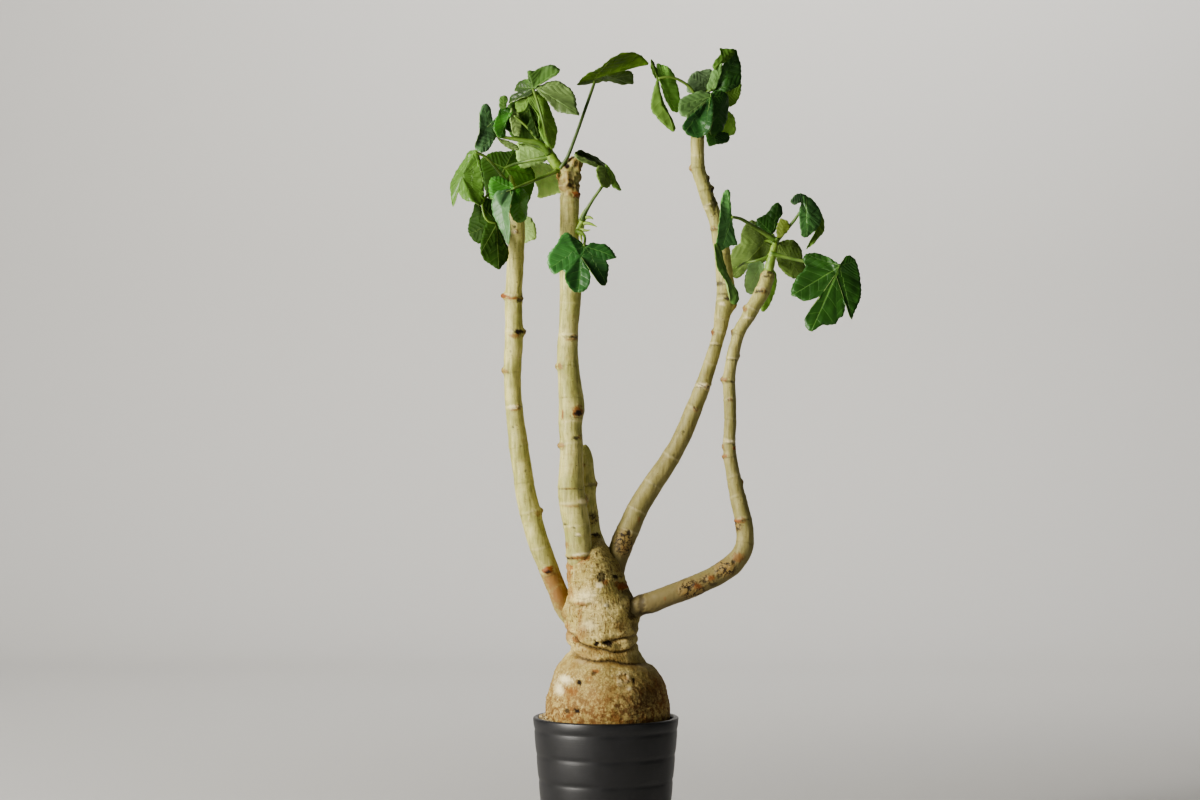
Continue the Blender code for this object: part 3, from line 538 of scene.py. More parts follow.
gritShape = {
    "count": 1500,
    "seed": 7,
    "size": (0.75, 1.45),
    "flatness": (1.0, 0.8, 0.68),
    "lumps": 0.22,
    "inner": 47.5,
    "outer": 55.0,
    "level": 121.5,
    "sink": (-0.9, 0.35),
    "heap": 4.0,
    "ripple": 0.7,
    "leftHeap": 4.6,
    "tones": [(0.62, 0.50, 0.25), (0.50, 0.40, 0.20), (0.70, 0.62, 0.40), (0.36, 0.27, 0.13),
              (0.20, 0.15, 0.09)],
    "shares": (0.36, 0.22, 0.22, 0.13, 0.07),
}
gritNoises = {
    "grain": (plain, 1400, 4, 0.6),
    "broad": (plain, 420, 2, 0.55),
}
gritLooks = {
    "speck": (0.22, 0.16, 0.08),
    "bed": ((0.13, 0.09, 0.045), (0.34, 0.26, 0.13)),
    "roughness": 0.8,
}


def gritPaint(name, colours):
    paint = Paint(name)
    grain = paint.noises(gritNoises)
    if colours:
        colour = paint.mix(paint.step(grain["grain"], 0.62, 0.4), gritLooks["speck"], paint.stored(colours))
    else:
        colour = paint.mix(paint.step(grain["broad"], 0.4, 0.6), *gritLooks["bed"])
    return paint.finish(colour, gritLooks["roughness"], bumps=[(grain["grain"], 0.5, 0.0004)])


# the shape of one stone, and its faces
def makeStone():
    deselectAll()
    bpy.ops.mesh.primitive_ico_sphere_add(subdivisions=2, radius=1, location=(0, 0, 0))
    stone = bpy.context.active_object
    startEdit()
    bpy.ops.transform.resize(value=gritShape["flatness"])
    bpy.ops.object.mode_set(mode="OBJECT")
    shape = coordinates(stone) * mm
    faces = [tuple(face.vertices) for face in stone.data.polygons]
    bpy.data.objects.remove(stone, do_unlink=True)
    return shape, faces


# one stone's points and tint, with its own place, size, turn and lumps
def placeStone(draw, shape):
    angle = draw.uniform(0, 2 * math.pi)
    share = draw.uniform(0, 1)
    radius = gritShape["inner"] + (gritShape["outer"] - gritShape["inner"]) * share
    heap = gritShape["heap"] * (0.5 - 0.5 * math.cos(angle)) ** 2
    heap += gritShape["ripple"] * math.sin(5 * angle)
    left = max(0.0, -math.cos(angle)) ** 6
    top = gritShape["level"] + heap + gritShape["leftHeap"] * left * (1 - 0.75 * share)
    size = draw.uniform(*gritShape["size"]) * (0.75 + 0.5 * draw.uniform())
    radius = min(radius, gritShape["outer"] - 0.3 - size * 0.6)
    height = top + draw.uniform(*gritShape["sink"])
    turn = np.linalg.qr(draw.normal(size=(3, 3)))[0]
    if np.linalg.det(turn) < 0:
        turn[:, 0] = -turn[:, 0]
    lumps = 1 + gritShape["lumps"] * np.sin(shape @ draw.normal(size=3) * 3.1 + draw.uniform(0, 6))
    rows = (shape * lumps[:, None] * size) @ turn.T
    rows += (radius * math.cos(angle), radius * math.sin(angle), height)
    tone = np.array(gritShape["tones"][draw.choice(5, p=gritShape["shares"])])
    return rows, np.tile(tone * draw.uniform(0.8, 1.15), (len(shape), 1))


def makeGrit():
    shape, faces = makeStone()
    draw = np.random.default_rng(gritShape["seed"])
    places, corners, tints = [], [], []
    for i in range(gritShape["count"]):
        rows, tint = placeStone(draw, shape)
        places.append(rows)
        tints.append(tint)
        corners += [tuple(v + len(shape) * i for v in face) for face in faces]
    mesh = bpy.data.meshes.new("looseGrit")
    mesh.from_pydata((np.concatenate(places) * mm).tolist(), [], corners)
    grit = bpy.data.objects.new("looseGrit", mesh)
    bpy.context.scene.collection.objects.link(grit)
    storeColour(grit, "stones", np.concatenate(tints))
    dress(grit, gritPaint("paleGrit", "stones"))
    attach(grit, "root")
    bed = bpy.data.objects["soil"]
    bed.data.materials.clear()
    bed.data.materials.append(gritPaint("gritBed", None))


makeGrit()
print("grit")


# Bark

markKinds = {"dark": 0, "rust": 1, "pale": 2, "tan": 3}
crispKinds = ("dark", "rust")
crispWidth = 6.0
crispEdge = (1.15, 0.4)


# what a piece of bark has at each vertex: how far it stands out, and its marks
class Bark:
    def __init__(self, x, z, front, noises):
        self.x = x
        self.z = z
        self.front = front
        self.noise = noises
        self.stand = np.zeros(len(x))
        self.marks = np.zeros((len(x), 4))

    # the stronger of the new mark and the one that is there already
    def mark(self, kind, strength):
        column = markKinds[kind]
        self.marks[:, column] = np.maximum(self.marks[:, column], strength)

    # 0 in the middle of an oval seen from the front, 1 on its rim
    def reach(self, middleX, middleZ, wide, tall):
        return np.hypot((self.x - middleX) / wide, (self.z - middleZ) / tall)

    # stained spots, with some painted shadows and highlights among them; rise says how far a kind stands out,
    # and up to which half width
    def spots(self, rows, edge, soft, rise):
        for kind in markKinds:
            for middleX, middleZ, wide, tall, strength in rows.get(kind, []):
                reach = self.reach(middleX, middleZ, wide, tall) * edge
                crisp = kind in crispKinds and wide < crispWidth
                cover = (crispEdge[0] - reach) / crispEdge[1] if crisp else soft[0] - soft[1] * reach
                spot = self.front * strength * np.clip(cover, 0, 1)
                self.mark(kind, spot)
                high, widest = rise.get(kind, (0, 0))
                if wide < widest:
                    self.stand += high * spot


# Trunk and bulb

# rings from the top down: height, centre X, half width, half depth, centre Y, tilt
trunkRings = [
    (275.2, -9, 0.8, 0.9, 6, 0), (274.4, -9.2, 4.6, 5.4, 6, 0), (271.5, -10, 8.8, 10.8, 2, 0),
    (268.5, -10.6, 11.8, 14.8, -0.2, 0), (265.5, -11.2, 14, 17.6, -1.4, 0), (261.5, -12, 17, 19, -1.2, 0),
    (259.4, -12.2, 18.6, 20.6, -1, 0), (257, -11.4, 20, 22.4, -2.4, 0), (252.5, -10.3, 21.8, 23.8, -3.2, 0),
    (246, -8.8, 23.3, 24.6, -3.6, 0), (237, -7.2, 24.5, 25, -2.6, 0), (227, -4.8, 26.6, 26, -1.5, 0),
    (218, -4.4, 30.4, 27, -1, 0), (211, -4, 31.4, 27.5, -1, 0), (204, -3, 30, 27.2, -1, 0),
    (196, -3.4, 29.2, 27, -1.5, 1), (190, -2.6, 28.4, 26.2, -1.5, 1), (185.5, -1.6, 27.6, 26, -1.5, 0),
    (181, -1.2, 27.8, 26.6, -1.5, -2), (177, 0.5, 30.2, 28.4, -1, -4), (173, 1.5, 35.5, 33, -0.5, -4),
    (166.5, 1.5, 41.4, 39, 0, -2), (156.5, 1.5, 46.2, 44, 0, 0), (145, 1.5, 49.5, 48, 0, 0),
    (132, 1.5, 51, 50.5, 0, 0), (121, 1, 49, 49, 0, 0), (110, 0.5, 44, 44, 0, 0), (100, 0, 36, 36, 0, 0),
    (91, 0, 24, 24, 0, 0), (86, 0, 11, 11, 0, 0),
]

trunkShape = {
    "sides": 300,
    "rows": 250,
    "topCrowding": 0.06,
    "creaseDepth": 2.4,
    "creaseWidth": 1.3,
    "rollStand": 0.9,
    "rollReach": 4.5,
    "rollWidth": 3.4,
    "crackSag": 0.9,
    "crackWidth": 0.45,
    "roughness": 0.6,
    "tickDepth": 0.45,
    "bandStand": 0.35,
    "scar": (13.7, 163.8, 4.6, 3.8),
    "scarRing": 0.8,
    "scarHollow": 0.6,
    "softEdge": (1.45, 1.25),
    "rise": {"dark": (-0.9, 4.5), "pale": (0.7, 3)},
}

# knobs: bearing in degrees (0 is +X, -90 the front), height, stand and width
trunkKnobs = [
    (178, 217, 3, 8), (0, 216, 2.5, 9), (-38, 232, -2, 7), (-60, 187, -2.5, 6), (2, 176, 3, 7),
    (-95, 152, 1.2, 12), (140, 205, 2, 10), (70, 222, 2.5, 10), (60, 160, 1.5, 14), (-50, 189, 3.2, 7),
    (-30, 203, 1.5, 6), (-88, 221, 0.8, 3), (-105, 246, 1.2, 8), (-120, 225, 1, 9),
]

# folds of the bark, as X and Z seen from the front; those marked back lie on the far side
trunkCreases = [
    ("front", 1, [(-33, 199), (-27, 196), (-21, 189.6), (-14.6, 187.2), (-7.2, 185.6), (0, 184.8),
                  (5, 183.1), (13, 182.7), (21, 185.5), (27, 189)]),
    ("front", 0.9, [(-2, 190.6), (5.8, 192.5), (13, 194.1), (19.6, 194.9), (27, 195.3)]),
    ("front", 1, [(-31, 186.4), (-27.6, 182.3), (-22.7, 178.7), (-14.6, 176.6), (-4.8, 175.8), (5, 175.8),
                  (15.5, 173.4), (24.5, 172.5), (33, 172)]),
    ("front", 0.45, [(-31, 222), (-24, 219), (-17, 220.5), (-12, 222)]),
    ("front", 0.8, [(19, 234), (22, 227), (20.5, 219), (23, 211), (22.5, 204), (25.5, 198)]),
    ("front", 0.35, [(12, 240), (17, 237), (22, 233), (27, 231)]),
    ("back", 1, [(-33, 199), (-20, 195), (-6, 190), (10, 193), (27, 195.3)]),
    ("back", 0.9, [(27, 189), (12, 186), (-4, 183), (-20, 184), (-31, 186.4)]),
    ("back", 1, [(33, 172), (16, 175), (-6, 176), (-24, 178), (-36, 174)]),
    ("back", 0.4, [(-26, 214), (-10, 210), (8, 213), (24, 209)]),
]

# thin cracks: X and Z of their ends, and depth
trunkCracks = [
    ((-13, 206.6), (4, 209), 0.35), ((-13.5, 251.8), (-4, 252.6), 0.3), ((-24, 226), (-12, 227.5), 0.25),
    ((-10, 231), (2, 232), 0.2), ((-26, 240), (-15, 241.5), 0.2), ((-22, 215), (-8, 216), 0.2),
    ((-4, 259), (8, 256), 0.3), ((-20, 200), (-6, 198.5), 0.25), ((2, 224), (12, 222), 0.2),
]

# marks seen from the front: X, Z, half width, half height and strength.
# Among the dark marks, those round the foot of stem_curved (X 21 to 27, Z 214 to 227), the line under
# the foot of stem_middle (X -23, Z 259) and the two broad patches low on the bulb's right (X 22 and 32)
# are painted shadow; the pale marks on the bulb's left (X -38 and -33) are a painted highlight.
trunkMarks = {
    "dark": [(-3.6, 244, 4, 4.5, 0.75), (8.2, 244, 2.6, 1.6, 0.9), (18, 231, 3.5, 2.6, 0.5),
             (-7.6, 190, 2.2, 2.6, 1), (2, 190.2, 4.2, 2.4, 1), (22, 214, 5, 5, 0.75),
             (24, 203, 4, 4, 0.45), (26.5, 220, 3, 3, 0.7), (-23, 258.8, 10, 0.9, 0.9),
             (26.5, 223, 4.5, 9, 0.8), (21.5, 227, 3.4, 5, 0.45), (-21.7, 159.4, 2, 2, 1),
             (-9.8, 166.8, 2.4, 1.8, 0.7), (-31.4, 136.4, 2, 1.8, 0.8), (-23.5, 136.9, 2.4, 1.7, 1),
             (22.6, 161, 1.4, 1.6, 0.9), (32, 148, 13, 13, 0.5), (22, 138, 16, 7, 0.35)],
    "rust": [(-1, 240, 2.5, 2.5, 0.7), (9.5, 238, 3, 2.5, 0.6), (14, 235.5, 4.5, 3.2, 1),
             (-20, 222, 5, 1.6, 0.6), (-21, 211, 2, 9, 0.35), (-19, 198, 5, 7, 0.35), (-24, 193, 3, 3, 0.7),
             (-28.5, 252, 1.6, 3, 0.8), (-27, 258, 1.8, 5, 0.5), (-25, 257, 8, 2.2, 1),
             (-16, 259.5, 4, 2, 0.8), (-30.5, 246, 2.6, 9, 0.6), (-29, 231, 2.4, 6, 0.45),
             (-31, 198, 3, 8, 0.5), (-20, 196, 8, 4, 0.4), (-8, 168.5, 3, 2, 0.8),
             (-27.3, 152.6, 6, 3.6, 0.5), (-4, 147, 14, 10, 0.16)],
    "pale": [(-5, 237.4, 3.2, 3.4, 0.9), (0.2, 221.2, 2.2, 2, 1), (-16, 228, 9, 7, 0.45),
             (-14, 205, 8, 6, 0.35), (-33, 161, 6.5, 4, 0.9), (-38, 153, 4.5, 6, 0.8),
             (-19, 176, 6, 3, 0.3), (18.8, 154.6, 2.2, 1.6, 0.7)],
    "tan": [(11, 203.5, 6.2, 5.5, 0.9), (14, 250, 9, 6, 0.5), (-35, 212, 3.4, 7, 0.7),
            (-14, 182, 13, 4, 0.65), (10, 178.5, 11, 3.2, 0.5), (41, 158, 6, 9, 0.6)],
}

trunkNoises = {
    "coarse": (plain, 0.075, 3.0, 3),
    "streak": ((1, 1, 0.25), 0.55, 11.0, 3),
    "fine": (plain, 0.5, 7.0, 3),
    "ragged": (plain, 0.85, 21.0, 3),
    "level": ((0.25, 0.25, 1), 0.33, 15.0, 2),
}

# the height or X where a stretch starts, and where it is full
trunkZones = {
    "aboveGrit": (108, 120),
    "belowTop": (275, 271),
    "bulb": (177, 165),
    "foot": (166, 134),
    "rightShadeSide": (-4, 42),
    "oliveShadeSide": (-12, 10),
    "oliveShadeHeight": (222, 236),
    "oliveShadeFading": (248, 262),
    "shoulderShadeHeight": (160, 168),
    "shoulderShadeSide": (18, 30),
}


# the rings' columns at any height, along a smooth curve
def trunkTable(heights):
    fine = smoothLine(list(reversed(trunkRings)), 10)
    levels = [row[0] for row in fine]
    return [np.interp(heights, levels, [row[k] for row in fine]) for k in range(1, 6)]


def trunkProfile():
    low, high = trunkRings[-1][0], trunkRings[0][0]
    share = np.linspace(0, 1, trunkShape["rows"])
    heights = low + (high - low) * (share + trunkShape["topCrowding"] * np.sin(math.pi * share))
    heights[-1] = high
    rings = trunkRings[::-1]
    widths = np.interp(heights, [row[0] for row in rings], [row[2] for row in rings])
    return list(zip(widths, heights))


# distance from every place to a line of X, Z points, and how far above it each lies
def lineDistance(x, z, points):
    best = np.full(len(x), 1e9)
    above = np.zeros(len(x))
    smooth = smoothLine([(px, pz, 0) for px, pz in points], 4)
    for a, b in zip(smooth, smooth[1:]):
        dx, dz = b[0] - a[0], b[1] - a[1]
        t = np.clip(((x - a[0]) * dx + (z - a[1]) * dz) / (dx * dx + dz * dz), 0, 1)
        offX, offZ = x - a[0] - t * dx, z - a[1] - t * dz
        gap = np.hypot(offX, offZ)
        closer = gap < best
        best = np.where(closer, gap, best)
        above = np.where(closer, offZ, above)
    return best, above


def addKnobs(bark, angle, z, halfX):
    for bearing, height, out, width in trunkKnobs:
        turn = (np.degrees(angle) - bearing + 180) % 360 - 180
        bark.stand += out * bell(np.radians(turn) * halfX, width) * bell(z - height, width)


def addCreases(bark, angle):
    width = trunkShape["creaseWidth"]
    flank = 1 - 0.75 * np.abs(np.cos(angle)) ** 5
    for side, strength, points in trunkCreases:
        gap, above = lineDistance(bark.x, bark.z + 0.5 * bark.noise["fine"], points)
        near = (bark.front if side == "front" else np.sin(angle) > -0.15) * flank * strength
        roll = bell(gap - trunkShape["rollReach"], trunkShape["rollWidth"]) * np.clip(above, 0, 1)
        bark.stand += near * (trunkShape["rollStand"] * roll - trunkShape["creaseDepth"] * bell(gap, width))
        # the dark line along each fold is painted shade in the crease; the rust band beside it is partly
        # staining, partly painted shade
        bark.mark("dark", near * bell(gap, 0.75 * width) * (0.85 + 0.3 * bark.noise["ragged"]))
        bark.mark("rust", near * bell(gap, 2.4 * width) * 0.35)


def addCracks(bark):
    for (ax, az), (bx, bz), depth in trunkCracks:
        middle = ((ax + bx) / 2, (az + bz) / 2 - trunkShape["crackSag"])
        gap = lineDistance(bark.x, bark.z + 0.7 * bark.noise["fine"], [(ax, az), middle, (bx, bz)])[0]
        broken = np.clip(0.75 + 1.2 * bark.noise["ragged"], 0, 1)
        line = bark.front * bell(gap, trunkShape["crackWidth"]) * broken
        bark.stand -= depth * line
        bark.mark("dark", line * 0.55)


# an old scar: a raised pale ring round a hollow
def addScar(bark, edge):
    reach = bark.reach(*trunkShape["scar"]) * edge
    ring = bark.front * bell(reach - 1.0, 0.25)
    hollow = bark.front * bell(reach, 0.6)
    bark.stand += trunkShape["scarRing"] * ring - trunkShape["scarHollow"] * hollow
    bark.mark("pale", 0.4 * ring)
    bark.mark("rust", 0.3 * bark.front * (reach < 0.8))


# corky bark: upright ticks in level bands on the trunk, lumps on the bulb
def addCork(bark, body, bulb):
    streak, level = bark.noise["streak"], bark.noise["level"]
    upright = body * (1 - bulb)
    ticks = np.clip(streak * 2.2 - 0.25, 0, 1) * np.clip(level * 2.5 + 0.45, 0, 1) * upright
    bark.stand += trunkShape["bandStand"] * np.clip(level * 3, -1, 1) * upright
    bark.stand -= trunkShape["tickDepth"] * ticks
    bark.mark("dark", 0.42 * ticks)
    lumps = 1.3 * bark.noise["coarse"] + 0.45 * streak + (0.35 + 0.55 * bulb) * bark.noise["fine"]
    bark.stand += trunkShape["roughness"] * body * lumps
    bark.stand += bulb * body * 0.35 * np.abs(bark.noise["ragged"])


def trunkTones(bark, x, z, bulb):
    foot = ramp(z, *trunkZones["foot"])
    # brown: the bulb browner towards its foot and its right side, partly its own brown bark and partly
    # painted shade
    brown = np.clip(0.4 + 0.6 * foot + 0.5 * ramp(x, *trunkZones["rightShadeSide"]) * foot, 0, 1) * bulb
    # olive: the trunk's upper right side and the bulb's right shoulder darkened, painted shade with some of
    # the bark's own olive tone
    olive = ramp(x, *trunkZones["oliveShadeSide"]) * ramp(z, *trunkZones["oliveShadeHeight"])
    olive *= 1 - 0.6 * ramp(z, *trunkZones["oliveShadeFading"])
    shoulderShade = ramp(z, *trunkZones["shoulderShadeHeight"]) * ramp(x, *trunkZones["shoulderShadeSide"])
    return np.stack([bark.marks[:, 3], bulb, brown, np.maximum(olive, 0.8 * shoulderShade)], 1)


def makeTrunk():
    trunk = spinProfile("swollenTrunk", trunkProfile(), trunkShape["sides"])
    places = coordinates(trunk)
    angle = np.arctan2(places[:, 1], places[:, 0])
    z = places[:, 2]
    centreX, halfX, halfY, centreY, tilt = trunkTable(z)
    seenZ = z + tilt * np.cos(angle)
    noises = noisesOf(np.stack([np.cos(angle) * halfX, np.sin(angle) * halfY, z], 1), trunkNoises)
    bark = Bark(centreX + halfX * np.cos(angle), seenZ, np.sin(angle) < 0.15, noises)
    body = ramp(z, *trunkZones["aboveGrit"]) * ramp(z, *trunkZones["belowTop"])
    bulb = ramp(z, *trunkZones["bulb"])
    edge = 1 + 0.45 * noises["fine"] + 0.35 * noises["ragged"]
    addKnobs(bark, angle, z, halfX)
    addCreases(bark, angle)
    addCracks(bark)
    addScar(bark, edge)
    bark.spots(trunkMarks, edge, trunkShape["softEdge"], trunkShape["rise"])
    addCork(bark, body, bulb)
    x = centreX + (halfX + bark.stand) * np.cos(angle)
    y = centreY + (halfY + bark.stand) * np.sin(angle)
    putCoordinates(trunk, np.stack([x, y, seenZ], 1))
    storeColour(trunk, "marks", bark.marks[:, :3])
    storeColour(trunk, "tones", trunkTones(bark, x, z, bulb))
    dress(trunk, trunkBark())
    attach(trunk, "root")
    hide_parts("caudex")


barkColours = {
    "cream": (0.62, 0.515, 0.215),
    "straw": (0.42, 0.340, 0.118),
    "olive": (0.225, 0.205, 0.062),
    "brown": (0.135, 0.072, 0.020),
    "pit": (0.020, 0.011, 0.005),
    "rust": (0.235, 0.080, 0.018),
    "chalk": (0.86, 0.76, 0.46),
    "tan": (0.28, 0.185, 0.060),
    "sienna": (0.330, 0.175, 0.060),
    "umber": (0.155, 0.070, 0.022),
}
corkNoises = {
    "patches": (plain, 55, 5, 0.6),
    "streaks": ((1, 1, 0.25), 480, 5, 0.65),
    "ticks": ((1, 1, 0.17), 820, 3, 0.6),
    "bands": ((0.35, 0.35, 1), 260, 4, 0.6),
    "specks": (plain, 760, 3, 0.7),
    "blotches": (plain, 230, 6, 0.72),
}
corkLooks = {"roughness": 0.70, "shine": 0.2, "netScale": 430.0, "netWidth": 0.16}


def trunkBark():
    paint = Paint("corkyBark")
    tones, times, step = barkColours, paint.times, paint.step
    grain = paint.noises(corkNoises)
    dark, rust, pale = paint.channels("marks")[:3]
    tan, bulb, brownAndShade, olive = paint.channels("tones")
    trunkOnly = paint.math("SUBTRACT", 1.0, bulb)
    # short upright ticks, thicker in some bands, and thin level wrinkles
    tick = times(step(grain["ticks"], 0.53, 0.63), step(grain["bands"], 0.43, 0.56))
    wrinkle = times(step(paint.offMiddle(grain["bands"]), 0.020, 0.005), trunkOnly)
    # the bulb is browner and blotched, most at its foot and its right side: partly its own brown bark, partly
    # painted shade
    blotch = times(step(grain["blotches"], 0.42, 0.57), brownAndShade)
    net = paint.net(corkLooks["netScale"], corkLooks["netWidth"])
    rusty = times(step(grain["patches"], 0.50, 0.66), bulb)
    colour = paint.mix(step(grain["patches"], 0.38, 0.66), tones["cream"], tones["straw"])
    colour = paint.layers(colour, [
        (step(grain["bands"], 0.52, 0.70), 0.5, tones["straw"]),
        (step(grain["streaks"], 0.52, 0.74), 0.6, tones["tan"]),
        (step(grain["streaks"], 0.45, 0.28), 0.45, tones["chalk"]),
        # painted shade: olive darkening on the trunk's upper right side and the bulb's right shoulder
        (olive, 0.62, tones["olive"]),
        (tan, 1.0, tones["tan"]),
        (times(tick, trunkOnly), 0.9, tones["brown"]),
        (wrinkle, 0.5, tones["brown"]),
        (bulb, 0.35, tones["straw"]),
        (brownAndShade, 0.3, tones["sienna"]),
        (blotch, 0.92, tones["umber"]),
        (times(net, bulb), 0.42, tones["brown"]),
        (rusty, 0.42, tones["rust"]),
        (step(grain["specks"], 0.62, 0.72), 0.7, tones["brown"]),
        (pale, 1.0, tones["chalk"]),
        (rust, 1.0, tones["rust"]),
        (dark, 1.0, tones["pit"]),
    ])
    return paint.finish(colour, corkLooks["roughness"], corkLooks["shine"], [
        (grain["streaks"], 0.55, 0.0011),
        (grain["blotches"], 0.45, 0.0012),
        (tick, -0.6, 0.0007),
        (wrinkle, -0.6, 0.0007),
        (grain["specks"], 0.45, 0.0005),
    ])


makeTrunk()
print("trunk and bulb")


# Branches

# line: X, Y, Z and radius; nubs: height, bearing, stand and length; rings: height and stand;
# marks and scales, seen from the front: X, Z, half width, half height and strength;
# gnarls: from one height to another, and stand
branches = {}
branches["stem_left"] = {
    "line": [(-24, 2, 200, 5), (-32.4, 0.5, 213, 7.2), (-39.3, -1, 230.2, 7.8), (-43.5, -1, 241, 8.1),
             (-47.5, -1, 251, 8.3), (-54.9, -1, 269.6, 8.5), (-60.7, 0, 289.3, 8.7), (-65.3, 0, 309, 8.4),
             (-68.6, 1, 328.8, 7.9), (-71.4, 1, 348.5, 8.1), (-73.9, 1, 368.3, 7.4), (-76, 1, 388, 7),
             (-76.8, 2, 407.8, 7), (-75.6, 2, 437.4, 7.4), (-76, 2, 467, 7.2), (-74.8, 2, 495, 6.8),
             (-73.5, 2, 519.7, 6.9), (-73.9, 2, 534.5, 7.2), (-74, 2, 546, 6.8), (-74.3, 2, 551.2, 5.6),
             (-74.4, 2, 552.6, 3.6)],
    "nubs": [(473.5, 180, 3, 2.6), (471.5, -20, 1.4, 2.4), (444, 0, 2.6, 2.6), (412, 180, 2, 2.6),
             (382, -60, 1, 2), (295, 0, 2, 2.6), (248, -100, 1.3, 3), (526, -92, 1.2, 2),
             (350, 150, 1.2, 2.4), (505, 60, 1.6, 2.6), (320, 80, 1.8, 2.6)],
    "rings": [(474, 0.35), (444, 0.3), (412, 0.2), (382, 0.35), (350, 0.15), (320, 0.15), (295, 0.25),
              (266, 0.2), (248, 0.2), (505, 0.15), (526, 0.15)],
    "rust": [(-83, 473.5, 3, 1.8, 1), (-76, 471.5, 7, 1.2, 0.9), (-74, 441, 4, 2, 0.7),
             (-82, 411.5, 2, 2, 0.5), (-74, 380, 4, 0.8, 0.7), (-56, 295, 2.4, 2.4, 0.5),
             (-48, 248.5, 3.8, 2.6, 1), (-44, 240, 4, 6, 0.5), (-35, 220, 8, 8, 0.6),
             (-47.5, 248.8, 4.6, 3.2, 1), (-43.5, 240, 9, 10, 0.5), (-38.5, 229, 9, 10, 0.6)],
    "dark": [(-71, 470, 3, 1.6, 0.7), (-71.5, 444, 3.6, 2, 1), (-76.3, 365.8, 0.9, 0.9, 0.8),
             (-47, 247, 2.2, 1.4, 0.9), (-74.7, 530.2, 1.2, 0.9, 0.9), (-70, 350, 1, 1, 0.5),
             (-66, 330, 0.9, 1.4, 0.5), (-78, 428, 0.9, 0.9, 0.5)],
    "pale": [(-76, 382, 5, 1.8, 0.9), (-74.7, 526.2, 2.2, 1.7, 1)],
    "tan": [(-43, 240, 9, 9, 0.85), (-38.5, 229, 9, 9, 0.8)],
    "aged": 0.08,
}
branches["stem_middle"] = {
    "line": [(-18, -9, 246, 7), (-20.4, -11.5, 254, 8.6), (-21.6, -12.8, 259, 10.4),
             (-22, -13, 265.3, 10.7), (-23.2, -13, 281.7, 10.8), (-28.1, -12, 309.5, 11.1),
             (-28.1, -12, 329.1, 9.9), (-28.1, -12, 348.7, 9.5), (-28.9, -11, 368.4, 9.6),
             (-28.1, -10, 386, 10.4), (-30.2, -10, 407.7, 9), (-31.4, -9, 427.3, 8.6),
             (-30.6, -9, 447, 7.9), (-29, -8, 476.5, 8.9), (-29.8, -7, 502.8, 8.2), (-30.2, -6, 527.5, 7.8),
             (-29.8, -5, 545.6, 7.8), (-29.8, -4, 560.4, 7.9), (-29.4, -4, 570.3, 8.6),
             (-27.8, -4, 578.5, 7.8), (-25.3, -4, 584.2, 6.2), (-24.5, -4, 587.5, 3.4)],
    "nubs": [(571, 180, 2.6, 3), (557, -40, 1.8, 3), (578, -20, 1.4, 3), (440, -50, 1.2, 2.2),
             (416, 180, 2, 2.6), (378, -55, 1.6, 3.6), (351, 180, 2, 2.6), (357, -40, 1, 2),
             (305, -10, 1.8, 3.4), (466, 80, 1.8, 2.6), (330, 100, 1.8, 2.6), (500, 40, 1.4, 2.4),
             (531, 10, 1.6, 2.4)],
    "rings": [(563, 0.3), (556, 0.25), (261.5, 0.9), (440, 0.35), (416, 0.2), (390, 0.25), (369, 0.25),
              (351, 0.25), (316, 0.35), (303, 0.3), (285, 0.2), (466, 0.15), (500, 0.15), (531, 0.15)],
    "dark": [(-31.8, 579.6, 1.9, 2.6, 1), (-27.5, 574, 2.4, 5, 0.6), (-29.4, 563.8, 2.2, 2.6, 0.85),
             (-24, 566, 2.4, 9, 0.4), (-27.6, 439.6, 6, 1, 0.9), (-23.4, 377.5, 3, 2.4, 1),
             (-24.3, 357, 2.6, 1.6, 0.8), (-33.5, 286.5, 1.3, 0.9, 0.8), (-26.1, 284, 1.2, 0.9, 0.7),
             (-23, 277, 3, 0.7, 0.5), (-33, 480, 0.8, 1.4, 0.4), (-29, 505, 0.8, 0.9, 0.4)],
    "rust": [(-29.4, 586, 2, 1.6, 1), (-39, 570.5, 3, 3, 0.55), (-24.8, 555.9, 2.8, 2.2, 1),
             (-28, 437.6, 6, 1.4, 0.6), (-37, 415.8, 1.8, 2.4, 0.6), (-24, 378.5, 4.6, 4.4, 0.9),
             (-35, 375.7, 1.2, 4, 0.8), (-36, 351, 2.2, 2.4, 0.6), (-30, 315.9, 8, 0.8, 0.5),
             (-28, 301.6, 8, 1.3, 0.5), (-32, 270, 1.6, 3, 0.5), (-22, 259.4, 11, 1.5, 0.9)],
    "tan": [(-22.8, 580.5, 4, 3.4, 0.9), (-30.5, 568.5, 4.4, 3, 0.8), (-27, 562, 2, 6, 0.8)],
    "pale": [(-19.8, 305, 2.6, 2.6, 0.8), (-22.8, 278.5, 2.6, 1.4, 0.8)],
    "gnarls": [(552, 600, 1.3)],
    "aged": 0.15,
}
branches["stem_stub"] = {
    "line": [(-5.5, 6, 258, 8.2), (-7.3, 8, 267.5, 7.6), (-10.6, 9, 279, 6.6), (-13.1, 9, 298.8, 6.3),
             (-14.7, 9, 318.6, 6.4), (-16.8, 9, 338.5, 6.2), (-18.4, 9, 346.7, 5.4),
             (-19.2, 9, 350.8, 3.2)],
    "nubs": [(318, 0, 1.4, 2.6), (294, 170, 1.2, 2.4), (335, -120, 1, 2.4)],
    "rings": [(318, 0.35), (294, 0.3), (277, 0.25), (335, 0.2)],
    "dark": [(-12, 318, 4, 1.6, 0.5), (-11, 293, 4, 3, 0.4), (-8, 277, 4, 1.4, 0.9)],
    "rust": [(-16, 305, 2, 5, 0.3)],
    "scales": [(-10.5, 290, 5, 5, 0.8), (-9, 275, 5, 4, 0.8)],
    "aged": 0.02,
}
